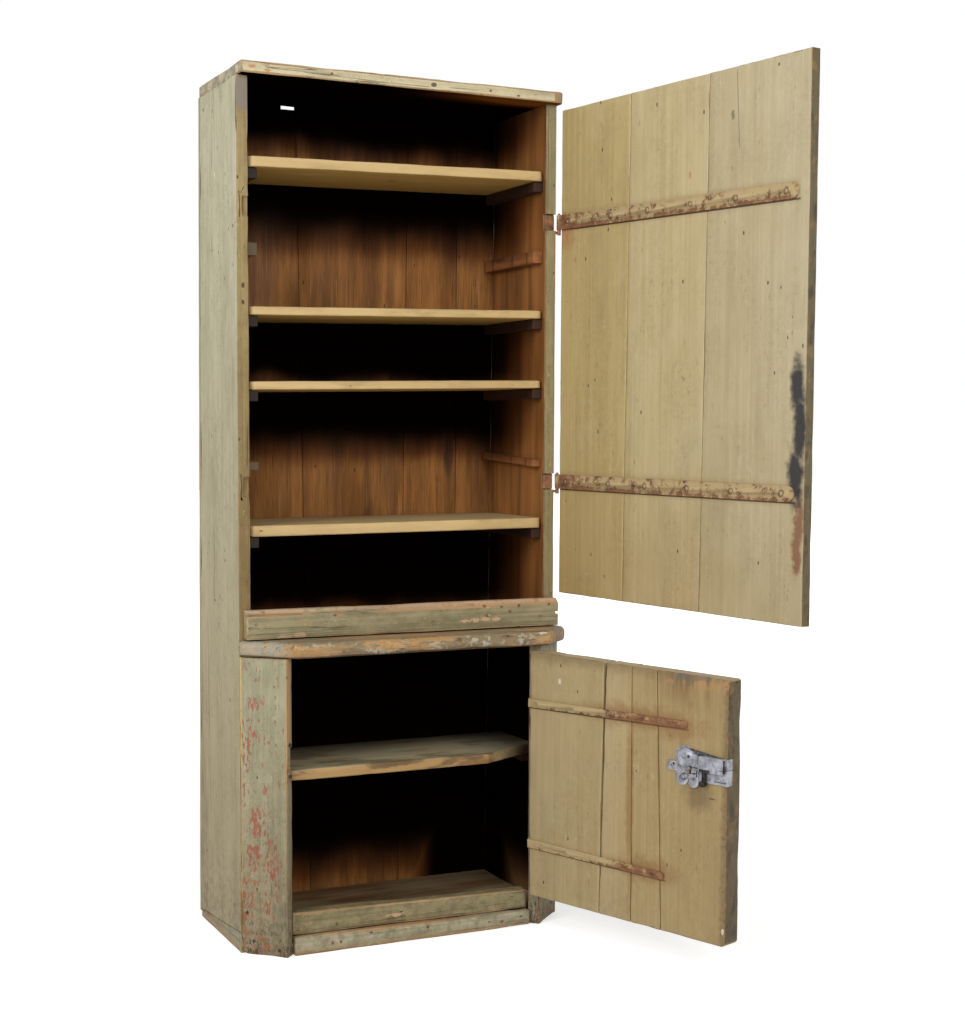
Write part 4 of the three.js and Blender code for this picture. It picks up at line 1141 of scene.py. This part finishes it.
# %% Loose shelves
def shelf_finish(name, top_tone, edge_tone, front, shade_depths, worn, dirt_and_right_shade=0.0):
    """Straw colour at the front edge, dust on top, olive brown below and painted shade on top at the back."""
    recipe = Recipe(name)
    wood = pine_colour(recipe, tint(204, 176, 124), tint(168, 136, 88), tint(104, 68, 38), 0.9)
    clouds = recipe.grained(5.0, 16.0, 2.0, 5.0, 0.65)
    facing = recipe.facing("Z")
    top = recipe.span(facing, 0.5, 0.85)
    under = recipe.span(facing, -0.5, -0.85)
    y = recipe.axis("Y")
    edge_band = recipe.span(y, front + 0.020, front + 0.006)
    knot = recipe.mark((0.02, 0.12, 1.85), (0.016, 0.02, 0.06), 0.4)
    dirty = recipe.grained(7.0, 24.0, 7.7, 4.0, 0.6)
    colour = recipe.layers(
        wood,
        (recipe.span(clouds, 0.50, 0.72), tint(132, 104, 66), 0.4),
        (recipe.times(under, recipe.span(clouds, 0.2, 0.45)), tint(164, 128, 58), 0.8),
        (recipe.times(top, recipe.span(clouds, 0.25, 0.5)), top_tone, 0.75),
        (recipe.times(edge_band, recipe.inverse(recipe.most(top, under))), edge_tone, 0.45),
        (recipe.times(knot, under), tint(70, 44, 26), 0.8),
        (splits(recipe, 0.8), HOLE, 0.6),
        (pocks(recipe, 0.5), HOLE, 0.65),
        (recipe.times(recipe.edge(), recipe.span(dirty, 0.44, 0.70)), tint(112, 80, 46), worn),
        # On the lower shelf: mottled dirt, and painted shade that darkens its right part, where the open
        # lower door shades it.
        (recipe.times(recipe.span(dirty, 0.50, 0.58), dirt_and_right_shade), tint(88, 72, 50), 0.6),
        (recipe.times(recipe.span(recipe.axis("X"), 0.16, 0.33), dirt_and_right_shade), tint(52, 48, 38), 0.7),
        # Painted shade: the top goes black towards the back, under the board above.
        (recipe.times(recipe.span(y, *shade_depths), top), BLACK, 0.94),
    )
    fibres = recipe.times(pine_fibres(recipe, 0.9), 0.5)
    height = recipe.plus(fibres, recipe.times(pine_bands(recipe, 0.9), 0.3))
    return recipe.finish(colour, recipe.plus(0.5, recipe.times(clouds, 0.25)), recipe.bump(height, 0.0007))


upper_shelf_finish = shelf_finish(
    "upper_shelf_finish", tint(160, 142, 104), tint(204, 178, 126), 0.005, (0.2, 0.45), 0.35
)
lower_shelf_finish = shelf_finish(
    "lower_shelf_finish", tint(150, 148, 124), tint(150, 110, 62), -0.045, (0.04, 0.24), 0.9, 1.0
)
print("shelves ready")

# %% Cleats
CLEAT_NAIL_DEPTHS = (0.05, 0.13, 0.24)


def cleat_finish():
    """Brown strips, with grey-green ends at the left and nail holes along the right ones."""
    recipe = Recipe("cleat_finish")
    x, y = recipe.axis("X"), recipe.axis("Y")
    wood = pine_colour(recipe, tint(158, 100, 54), tint(112, 68, 36), tint(60, 34, 18), 0.4)
    painted_end = recipe.times(recipe.span(x, 0.0, -0.1), recipe.span(y, 0.022, 0.015))
    columns = [recipe.mark((0.347, depth, 0.0), (0.01, 0.004, 9.0), 0.3) for depth in CLEAT_NAIL_DEPTHS]
    holes = recipe.most(*columns)
    colour = recipe.layers(
        wood,
        (grime(recipe, 0.7), tint(74, 48, 28), 1.0),
        (painted_end, tint(84, 76, 56), 0.9),
        (recipe.most(pocks(recipe, 0.5), recipe.times(holes, 0.8)), BLACK, 0.7),
    )
    # Painted shade under each shelf, at three quarters of its strength.
    colour = shade_darkened(recipe, colour, recipe.times(painted_shade(recipe), 0.75))
    height = recipe.times(pine_fibres(recipe, 0.4), 0.6)
    return recipe.finish(colour, 0.7, recipe.bump(height, 0.0008))


cleat_wood = cleat_finish()
print("cleats ready")

# %% [markdown]
# ## The doors' finish
# The doors' inner faces have kept a thin khaki coat. Its tone changes from board to board, so it
# is a ramp that runs from the hinge edge to the free edge. Over it lie the things that hands and
# iron have done: rust below the straps, blue-black stains, bare spots and a dirty free edge.

# %% What the straps leave
UPPER_STRAPS = ((1.701, 0.008, 0.776, 0.0175), (1.0752, 0.0065, 0.776, 0.0175))
LOWER_STRAPS = ((0.5494, -0.006, 0.474, 0.010), (0.2078, 0.002, 0.414, 0.009))


def wavering(recipe, value, size, reach):
    """A value that grit of some size moves up and down a little."""
    return recipe.plus(value, recipe.times(recipe.minus(recipe.grit(size), 0.5), reach))


def strap_traces(recipe, straps):
    """A dark line under each strap, of painted contact shadow and rust stain together, and a rusty halo round
    it, which follow the strap's slope.
    """
    along, z = recipe.axis("X"), recipe.axis("Z")
    lines, halos = [], []
    for middle, drop, length, half in straps:
        offset = recipe.minus(recipe.plus(z, recipe.times(along, drop / length)), middle)
        reach = recipe.span(along, length + 0.004, length)
        lines.append(recipe.times(recipe.between(offset, -half - 0.0032, -half + 0.001, 0.0008), reach))
        spread = wavering(recipe, recipe.math("ABSOLUTE", offset), 0.02, 0.02)
        halos.append(recipe.times(recipe.span(spread, half + 0.014, half), reach))
    return recipe.most(*lines), recipe.most(*halos)


print(len(UPPER_STRAPS) + len(LOWER_STRAPS), "straps leave their traces")


# %% A door's coat
def door_finish(name, width, thickness, stops, straps, outer, marks):
    recipe = Recipe(name)
    along, inward = recipe.axis("X"), recipe.axis("Y")
    tone = recipe.ramp(recipe.times(along, 1 / width), stops)
    shade = recipe.times(recipe.inverse(brushed_shade(recipe)), 0.5)
    inner_coat = recipe.blend(shade, tone, (0.82, 0.80, 0.75, 1), "MULTIPLY")
    clouds = recipe.grained(4.0, 6.0, 8.8, 5.0, 0.6)
    inner_coat = recipe.layers(
        inner_coat,
        (recipe.span(pine_streaks(recipe, 2.0), 0.48, 0.68), tint(150, 130, 88), 0.20),
        (recipe.span(brush_lines(recipe), 0.44, 0.68), tint(202, 190, 156), 0.12),
        (recipe.span(clouds, 0.52, 0.70), tint(158, 138, 92), 0.22),
        (recipe.span(clouds, 0.46, 0.32), tint(196, 184, 150), 0.20),
    )
    outside = recipe.span(inward, -thickness + 0.004, -thickness + 0.001)
    coat = recipe.blend(outside, inner_coat, brushed_coat(recipe, *outer))
    colour, bare, holes = aged(
        recipe, coat, wear=0.30, fallen=0.10, pocked=0.35, split=-0.9, dirty=0.2, low_dirt=0.12, mottled=0.6
    )
    line, halo = strap_traces(recipe, straps)
    face = recipe.span(inward, -0.004, -0.001)
    free = recipe.span(along, width - 0.0025, width - 0.0010)
    dirt = recipe.grained(22.0, 48.0, 3.3, 5.0, 0.7)
    near = recipe.between(along, width - 0.004, width - 0.001, 0.001)
    arris = recipe.times(near, recipe.span(inward, -0.006, -0.002))
    colour = recipe.layers(
        colour,
        (recipe.times(halo, face), tint(150, 124, 82), 0.22),
        # The dark line under each strap is painted contact shadow and rust stain together.
        (recipe.times(line, face), tint(48, 34, 24), 0.85),
        *marks(recipe, face),
        (free, tint(88, 76, 50), 0.92),
        (recipe.times(free, recipe.span(recipe.grit(0.03), 0.54, 0.64)), tint(132, 108, 70), 0.6),
        (recipe.times(free, recipe.span(dirt, 0.46, 0.66)), tint(50, 42, 30), 0.75),
        (recipe.times(arris, recipe.span(recipe.grit(0.02), 0.50, 0.62)), tint(168, 122, 78), 0.6),
    )
    colour = recipe.darkened(colour, recipe.span(recipe.axis("Z"), 1.25, 0.75), (0.87, 0.82, 0.76))
    return painted_finish(recipe, colour, bare, holes, rough=0.5)


print("door coat ready")

# %% Marks on the upper door
UPPER_WIDTH, UPPER_THICKNESS = 0.804, 0.023
BLUE_BLOTS = (
    ((0.780, 0.0, 1.294), (0.018, MARK_DEPTH, 0.060)),
    ((0.787, 0.0, 1.200), (0.018, MARK_DEPTH, 0.095)),
    ((0.778, 0.0, 1.105), (0.022, MARK_DEPTH, 0.060)),
)


def upper_door_marks(recipe, face):
    along, z = recipe.axis("X"), recipe.axis("Z")
    blue = recipe.most(*[recipe.mark(place, reach, 0.6, 0.03, 1.0) for place, reach in BLUE_BLOTS])
    brown = recipe.marks(((0.790, 1.016), (0.784, 0.953)), 0.0, (0.013, 0.05), 0.8, 0.02, 0.9)
    lean = recipe.minus(along, recipe.plus(0.600, recipe.times(recipe.minus(z, 1.807), -0.0667)))
    crack = recipe.times(recipe.between(lean, -0.0008, 0.0008, 0.0005), recipe.between(z, 1.80, 1.965, 0.01))
    smudge = recipe.marks(((0.579, 1.871),), 0.0, (0.005, 0.010), 0.5)
    specks = recipe.marks(((0.711, 1.955), (0.490, 1.891), (0.690, 1.509)), 0.0, (0.003, 0.004), 0.4)
    bare_spots = recipe.marks(((0.0215, 1.664), (0.053, 1.607), (0.4485, 1.761)), 0.0, (0.004, 0.008), 0.8)
    hinge_rust = recipe.mark((0.0, 0.0, 1.675), (0.045, 0.03, 0.045), 0.7, 0.02, 0.9)
    free_top = recipe.times(recipe.span(along, 0.797, 0.803), recipe.span(z, 1.90, 1.97))
    return (
        (recipe.times(brown, face), tint(118, 68, 44), 0.8),
        (recipe.times(blue, face), tint(20, 24, 36), 0.94),
        (recipe.most(crack, recipe.times(smudge, 0.7), specks), tint(70, 54, 36), 0.8),
        (bare_spots, tint(176, 122, 84), 0.8),
        (hinge_rust, tint(160, 100, 66), 0.5),
        (free_top, tint(165, 110, 75), 0.6),
    )


upper_door_finish = door_finish(
    "upper_door_finish", UPPER_WIDTH, UPPER_THICKNESS,
    (
        (0.0, tint(177, 155, 104)), (0.29, tint(179, 158, 109)), (0.32, tint(190, 172, 130)),
        (0.60, tint(188, 170, 130)), (0.64, tint(184, 169, 133)), (1.0, tint(183, 170, 138)),
    ),
    UPPER_STRAPS, (tint(184, 179, 151), tint(164, 158, 128)), upper_door_marks,
)
print("upper door painted")

# %% Marks on the lower door
LOWER_WIDTH, LOWER_THICKNESS = 0.5835, 0.045
ORANGE_SPOTS = ((0.425, 0.6475), (0.519, 0.642), (0.548, 0.650), (0.570, 0.655))
STRAP_RUST = (
    ((0.34, 0.0, 0.556), (0.15, 0.03, 0.026)), ((0.44, 0.0, 0.545), (0.06, 0.03, 0.030)),
    ((0.36, 0.0, 0.212), (0.08, 0.03, 0.026)), ((0.31, 0.0, 0.36), (0.010, 0.03, 0.20)),
)


def lower_door_marks(recipe, face):
    along, z = recipe.axis("X"), recipe.axis("Z")
    halo = recipe.span(wavering(recipe, along, 0.04, 0.02), 0.560, 0.582)
    top = recipe.span(wavering(recipe, z, 0.03, 0.03), 0.640, 0.668)
    blues = recipe.marks(((0.458, 0.662), (0.497, 0.662), (0.524, 0.6625)), 0.0, (0.013, 0.008), 0.9)
    oranges = recipe.marks(ORANGE_SPOTS, 0.0, (0.014, 0.006), 1.0)
    white = recipe.marks(((0.576, 0.114), (0.094, 0.611)), 0.0, (0.004, 0.007), 0.6)
    scratch = recipe.marks(((0.542, 0.401),), 0.0, (0.010, 0.0018), 0.3)
    rust = recipe.marks(((0.479, 0.600), (0.518, 0.539)), 0.0, (0.007, 0.009), 0.8)
    knob_stain = recipe.marks(((0.506, 0.405),), 0.0, (0.034, 0.034), 0.5, 0.03, 1.1)
    fibres = recipe.grained(16.0, 120.0, 4.9, 4.0, 0.6)
    cloud = recipe.grained(3.0, 14.0, 6.3, 5.0, 0.62)
    stained = recipe.times(
        recipe.span(z, 0.560, 0.650), recipe.span(along, 0.24, 0.50), recipe.span(cloud, 0.34, 0.62)
    )
    strap_rust = recipe.most(*[recipe.mark(place, reach, 0.8, 0.03, 1.1) for place, reach in STRAP_RUST])
    torn_top = recipe.times(
        recipe.span(along, 0.38, 0.50), recipe.span(z, 0.612, 0.655), recipe.span(fibres, 0.50, 0.56)
    )
    grey_top = recipe.times(
        recipe.span(along, 0.36, 0.46), recipe.span(z, 0.630, 0.660), recipe.span(cloud, 0.46, 0.54)
    )
    specks = recipe.broken(along, 0.556, 0.576, 0.009, 0.52, 0.62)
    return (
        (recipe.times(halo, face), tint(118, 100, 68), 0.75),
        (recipe.times(top, face), tint(124, 108, 78), 0.6),
        (recipe.times(stained, face), tint(118, 90, 50), 0.75),
        (recipe.times(strap_rust, face), tint(138, 98, 54), 0.55),
        (recipe.times(knob_stain, face), tint(104, 86, 58), 0.6),
        (recipe.times(grey_top, face), tint(106, 98, 86), 0.65),
        (recipe.times(torn_top, face), tint(178, 140, 94), 0.8),
        (oranges, tint(176, 138, 94), 0.5),
        (blues, tint(104, 102, 96), 0.6),
        (recipe.times(specks, face), tint(70, 60, 44), 0.4),
        (rust, tint(150, 108, 70), 0.35),
        (scratch, tint(96, 66, 42), 0.8),
        (white, tint(222, 216, 200), 0.85),
    )


lower_door_finish = door_finish(
    "lower_door_finish", LOWER_WIDTH, LOWER_THICKNESS,
    (
        (0.0, tint(180, 164, 126)), (0.38, tint(180, 164, 124)), (0.41, tint(184, 166, 130)),
        (0.54, tint(178, 160, 118)), (0.70, tint(176, 157, 115)), (1.0, tint(170, 150, 108)),
    ),
    LOWER_STRAPS, (tint(182, 176, 146), tint(160, 153, 123)), lower_door_marks,
)
print("lower door painted")

# %% [markdown]
# ## Iron
# The straps were forged by hand, painted with the doors and have rusted through from their lower
# edges. The rim lock was silvered later. Both start from a grey cloud with pits. The straps get
# rust and the last of the paint; the lock dull silver, with painted shade in its holes and joints.

# %% Rusty iron
IRON_DEPTH = 0.008
RUST_TONES = (
    (0.30, tint(66, 46, 34)), (0.46, tint(122, 84, 58)),
    (0.60, tint(150, 106, 70)), (0.76, tint(188, 154, 116)),
)


def rusty_iron(name, paint_left, straps=(), bare_from=0.0, nails=()):
    """Rust under what is left of the paint, which goes first at a strap's ends and lower edge."""
    recipe = Recipe(name)
    coarse, fine = recipe.grit(0.022, 5.0), recipe.grit(0.0045)
    rust = recipe.ramp(recipe.plus(recipe.times(coarse, 0.6), recipe.times(fine, 0.4)), RUST_TONES)
    cover = recipe.plus(coarse, recipe.times(fine, 0.3))
    for middle, drop, length, half in straps:
        offset = recipe.plus(recipe.axis("Z"), recipe.times(recipe.axis("X"), drop / length), -middle)
        lower_edge = recipe.between(offset, -half - 0.004, -half * 0.55, half * 0.25)
        cover = recipe.minus(cover, recipe.times(lower_edge, 0.16))
        near = recipe.between(offset, -half - 0.01, half + 0.01, 0.001)
        hinge_end = recipe.span(recipe.axis("X"), length * 0.30, 0.0)
        cover = recipe.minus(cover, recipe.times(hinge_end, near, 0.0 if bare_from else 0.14))
    if bare_from:
        towards = recipe.span(recipe.axis("X"), bare_from - 0.10, bare_from + 0.10)
        cover = recipe.plus(cover, 0.16, recipe.times(towards, -0.34))
    left = recipe.span(cover, 0.76 - 0.34 * paint_left, 0.94 - 0.34 * paint_left)
    coloured = recipe.layers(rust, (left, tint(176, 156, 114), 0.85))
    if nails:
        heads = recipe.marks(nails, IRON_DEPTH, (0.0046, 0.0046), 0.3)
        rims = recipe.minus(recipe.marks(nails, IRON_DEPTH, (0.0078, 0.0078), 0.5), heads)
        coloured = recipe.layers(coloured, (rims, tint(72, 52, 38), 0.7), (heads, tint(150, 128, 96), 0.5))
    height = recipe.plus(recipe.times(coarse, 0.6), recipe.times(fine, 0.6), recipe.times(left, 0.3))
    return recipe.finish(coloured, 0.75, recipe.bump(height, 0.0014), metallic=0.12)


def nail_places(straps, shares):
    """Where the nails stand along each strap, which falls away a little towards its tip."""
    return [
        (share * length, middle - drop * share)
        for middle, drop, length, _ in straps
        for share in shares
    ]


UPPER_NAILS = nail_places(UPPER_STRAPS, (0.035, 0.24, 0.405, 0.586, 0.765, 0.955))
upper_strap_iron = rusty_iron("upper_strap_iron", 0.84, UPPER_STRAPS, nails=UPPER_NAILS)
lower_strap_iron = rusty_iron("lower_strap_iron", 0.75, LOWER_STRAPS, 0.25)
pin_iron = rusty_iron("pin_iron", 0.0)
print(len(UPPER_NAILS), "nails in the upper straps")

# %% Silvered and black iron
LOCK_SHADED_GAPS = (
    (0.5035, 0.5115, 0.4720, 0.4950), (0.4830, 0.4895, 0.4490, 0.4665), (0.4910, 0.5080, 0.4625, 0.4650),
    (0.5170, 0.5460, 0.4590, 0.4665), (0.5710, 0.5870, 0.4685, 0.4700), (0.5490, 0.5810, 0.4400, 0.4418),
    (0.5025, 0.5060, 0.4440, 0.4600), (0.4920, 0.5030, 0.4500, 0.4530),
)
LOCK_HOLES = ((0.4375, 0.4655), (0.4840, 0.4880))
LOCK_RING = ((0.4700, 0.4418),)
SILVER_TONES = ((0.32, tint(112, 114, 120)), (0.50, tint(150, 151, 158)), (0.68, tint(184, 185, 193)))


def silvered_iron():
    """Dull silver, with painted shade between the lock's parts and in its holes."""
    recipe = Recipe("lock_silver")
    along, z = recipe.axis("X"), recipe.axis("Z")
    cloud, pits = recipe.grit(0.016, 4.0), recipe.grit(0.0026)
    # Painted shade: the places between the lock's parts and its holes are painted near black.
    shaded_gaps = recipe.most(*[
        recipe.times(recipe.between(along, low, high, 0.0007), recipe.between(z, bottom, top, 0.0007))
        for low, high, bottom, top in LOCK_SHADED_GAPS
    ])
    holes = recipe.marks(LOCK_HOLES, IRON_DEPTH, (0.0030, 0.0036), 0.2)
    outer, inner = (recipe.marks(LOCK_RING, IRON_DEPTH, (reach, reach), 0.1) for reach in (0.0085, 0.0048))
    ring = recipe.minus(outer, inner)
    rust = recipe.marks(((0.4905, 0.5035),), IRON_DEPTH, (0.0035, 0.0035), 0.4)
    cut = recipe.most(holes, shaded_gaps)
    coloured = recipe.layers(
        recipe.ramp(cloud, SILVER_TONES),
        (recipe.span(pits, 0.62, 0.70), tint(104, 102, 104), 0.7),
        (rust, tint(128, 74, 48), 0.9),
        (cut, tint(18, 17, 18), 0.95),
        (ring, tint(58, 58, 62), 0.8),
    )
    height = recipe.minus(recipe.plus(recipe.times(cloud, 0.3), recipe.times(pits, 0.3)), cut)
    return recipe.finish(coloured, 0.45, recipe.bump(height, 0.0006), metallic=0.2, specular=0.45)


def black_iron():
    recipe = Recipe("knob_black")
    cloud = recipe.grit(0.011, 4.0)
    coloured = recipe.ramp(cloud, ((0.35, tint(20, 18, 17)), (0.65, tint(66, 56, 50))))
    return recipe.finish(coloured, 0.5, recipe.bump(cloud, 0.0006), metallic=0.4)


lock_silver = silvered_iron()
knob_black = black_iron()
print("irons ready")

# %% [markdown]
# ## Dressing the carcass
# Now every board gets its worn mesh and its finish. The canted stiles stand at an angle, so they
# are told how far each is turned and find their own grain. The waist board and the stiles took the
# most knocks, so their arrises are chipped deepest.

# %% The carcass in its paint
FOOT_RADIUS = 0.022

worn_board("left_side_board", left_side_finish, chips=0.004)
worn_board("right_side_board", right_side_finish, chips=0.003)
worn_board("top_board", top_board_finish, rounding=0.003, chips=0.003)
for name in ("left_skid_strip", "right_skid_strip"):
    worn_board(name, skid_finish, chips=0.004)
foot_corner = (0.0, 0.0, -1, -1)
worn_board(
    "left_canted_stile", left_stile_finish, left_stile_spot, -CANT, chips=0.005,
    corners=((foot_corner, FOOT_RADIUS),),
)
worn_board("right_canted_stile", right_stile_finish, right_stile_spot, CANT, chips=0.005)
worn_board("waist_rail", waist_rail_finish, rounding=0.002, chips=0.004)
worn_board("bottom_rail", bottom_rail_finish, rounding=0.003, chips=0.005)
worn_board("plinth_board", plinth_finish, rounding=0.0025, chips=0.004)
worn_board("waist_board", waist_finish, rounding=0.002, chips=0.005)
print(board_count, "outer boards")

# %% The inside of the carcass
for index in range(1, 5):
    worn_board(f"back_board_{index}", back_finish, chips=0.001)
for name in ("upper_floor_board", "lower_floor_board"):
    worn_board(name, floor_finish, chips=0.002)
for name in ("shelf_1", "shelf_2", "shelf_3", "shelf_4"):
    worn_board(name, upper_shelf_finish, rounding=0.003, chips=0.002)
worn_board("lower_shelf", lower_shelf_finish, rounding=0.003, chips=0.003)
for name in [node for node in body_of_node if node.startswith("cleat_")]:
    worn_board(name, cleat_wood, chips=0.002)
print(board_count, "boards so far")

# %% [markdown]
# ## Dressing the doors
# The doors stand open, so their boards are turned with them. The lower door's outer corners are
# worn round, and so is the upper door's top corner by its hinge.

# %% The doors in their paint
HINGE_CORNER_RADIUS = 0.009
FREE_TOP_RADIUS, FREE_FOOT_RADIUS = 0.012, 0.014

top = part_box("upper_door_board_1")[1][2]
corners_of_board = {"upper_door_board_1": (((0.0, top, -1, 1), HINGE_CORNER_RADIUS),)}
low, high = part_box("lower_door_board_4")
corners_of_board["lower_door_board_4"] = (
    ((LOWER_WIDTH, high[2], 1, 1), FREE_TOP_RADIUS),
    ((LOWER_WIDTH, low[2], 1, -1), FREE_FOOT_RADIUS),
)
for index in range(1, 4):
    node = f"upper_door_board_{index}"
    corners = corners_of_board.get(node, ())
    worn_board(node, upper_door_finish, upper_door_spot, UPPER_OPEN, chips=0.002, corners=corners)
for index in range(1, 5):
    node = f"lower_door_board_{index}"
    corners = corners_of_board.get(node, ())
    worn_board(node, lower_door_finish, lower_door_spot, LOWER_OPEN, 0.002, corners=corners)
print(board_count, "boards worn")

# %% [markdown]
# ## Iron pieces
# The straps and the lock keep the frame's shapes. Their sharp edges are softened, and the forged
# straps are also hammered a little uneven.

# %% The straps, pins and lock
IRON_ANGLE = 0.5
SPOT_OF_BODY = {
    "carcass": carcass_spot,
    "upper_door": upper_door_spot,
    "lower_door": lower_door_spot,
    "lock_bolt": lower_door_spot,
    "lock_lever": lower_door_spot,
}


def forged(node, finish, rounding=0.0006, hammered=0.0):
    work = clean_copy(node)
    bevelled(work, sharp_edges(work, IRON_ANGLE), rounding)
    bmesh.ops.dissolve_degenerate(work, dist=SAME_POINT, edges=work.edges)
    work.normal_update()
    for vertex in work.verts:
        dent = max(0.0, noise.noise(vertex.co * 45))
        vertex.co -= vertex.normal * hammered * dent
    stand_in(mesh_of(work, "forged_" + node, SPOT_OF_BODY[body_of_node[node]], finish), node)


for node, slot in slot_of_node.items():
    if "upper_door_strap" in node:
        forged(node, upper_strap_iron, hammered=0.0006)
    elif "lower_door_strap" in node:
        forged(node, lower_strap_iron, hammered=0.0004)
    elif slot == "rusty_iron":
        forged(node, pin_iron)
    elif slot == "silvered_iron":
        forged(node, lock_silver, rounding=0.0009)
    elif slot == "black_iron":
        forged(node, knob_black, rounding=0.0009)
print("irons dressed")

# %% [markdown]
# ## Nails and hinge plates
# The boards are held by cut nails whose heads show in the fronts of the rails and the plinth. A
# head is a low dome with an uneven rim, sunk a little into the wood. Two rusty plates lie in the
# notches behind the upper strap eyes. None of these has a solid of its own in the frame, so they
# ride with the carcass as extra pieces.

# %% Nail heads
NAIL_SIDES = 9
NAIL_RADIUS, NAIL_RISE, NAIL_SUNK = 0.0034, 0.0012, 0.0006
NAIL_RINGS = ((1.0, -0.4), (0.92, 0.45), (0.5, 0.9))
FRONT_NAILS = {
    "waist_rail": RAIL_NAILS,
    "top_board": TOP_NAILS,
    "bottom_rail": ((-0.283, 0.058), (-0.188, 0.058)),
    "plinth_board": PLINTH_NAILS,
}


def nail_head(work, centre, seed):
    """A low dome that faces the front, with its rim and its top a little out of true."""
    rings = []
    for share, height in NAIL_RINGS:
        ring = []
        for side in range(NAIL_SIDES):
            turn = 2 * math.pi * side / NAIL_SIDES
            across, up = math.cos(turn), math.sin(turn)
            uneven = 1.0 + 0.22 * noise.noise(Vector((across, up, seed * 1.9)))
            reach = NAIL_RADIUS * share * uneven
            place = (centre[0] + reach * across, centre[1] - NAIL_RISE * height, centre[2] + reach * up)
            ring.append(work.verts.new(place))
        rings.append(ring)
    for lower, upper in zip(rings, rings[1:]):
        for side in range(NAIL_SIDES):
            after = (side + 1) % NAIL_SIDES
            work.faces.new((lower[side], lower[after], upper[after], upper[side]))
    work.faces.new(rings[-1])
    work.faces.new(list(reversed(rings[0])))


def extra_piece(name, work):
    """A piece of rusty iron on the carcass that has no solid of its own in the frame."""
    bmesh.ops.recalc_face_normals(work, faces=work.faces)
    piece = bpy.data.objects.new(name, mesh_of(work, name, carcass_spot, pin_iron))
    bpy.context.scene.collection.objects.link(piece)
    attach(piece, "carcass")


nail_work = bmesh.new()
nail_count = 0
for node, places in FRONT_NAILS.items():
    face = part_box(node)[0][1]
    for x, z in places:
        nail_count += 1
        nail_head(nail_work, (x, face + NAIL_SUNK, z), nail_count)
extra_piece("front_nails", nail_work)
print(nail_count, "nails driven")

# %% Hinge plates in the notches
PLATE_LEFT, PLATE_RIGHT = 0.3735, 0.3995
PLATE_DEPTHS = (0.0070, 0.0118)
PLATE_HALF = 0.0185
PLATE_ROUNDING = 0.0012
PLATE_PITS = 0.0007


def notch_plate(middle, name):
    work = bmesh.new()
    bmesh.ops.create_cube(work, size=1.0)
    low = Vector((PLATE_LEFT, FRONT + PLATE_DEPTHS[0], middle - PLATE_HALF))
    high = Vector((PLATE_RIGHT, FRONT + PLATE_DEPTHS[1], middle + PLATE_HALF))
    for vertex in work.verts:
        share = vertex.co + Vector((0.5, 0.5, 0.5))
        vertex.co = Vector([a + (b - a) * s for a, b, s in zip(low, high, share)])
    bevelled(work, work.edges[:], PLATE_ROUNDING)
    bmesh.ops.subdivide_edges(work, edges=work.edges[:], cuts=2, use_grid_fill=True)
    work.normal_update()
    for vertex in work.verts:
        vertex.co -= vertex.normal * PLATE_PITS * max(0.0, noise.noise(vertex.co * 130))
    extra_piece(name, work)


for index, (middle, *_) in enumerate(UPPER_STRAPS):
    notch_plate(middle, f"hinge_plate_{index + 1}")
print("hinge plates laid")
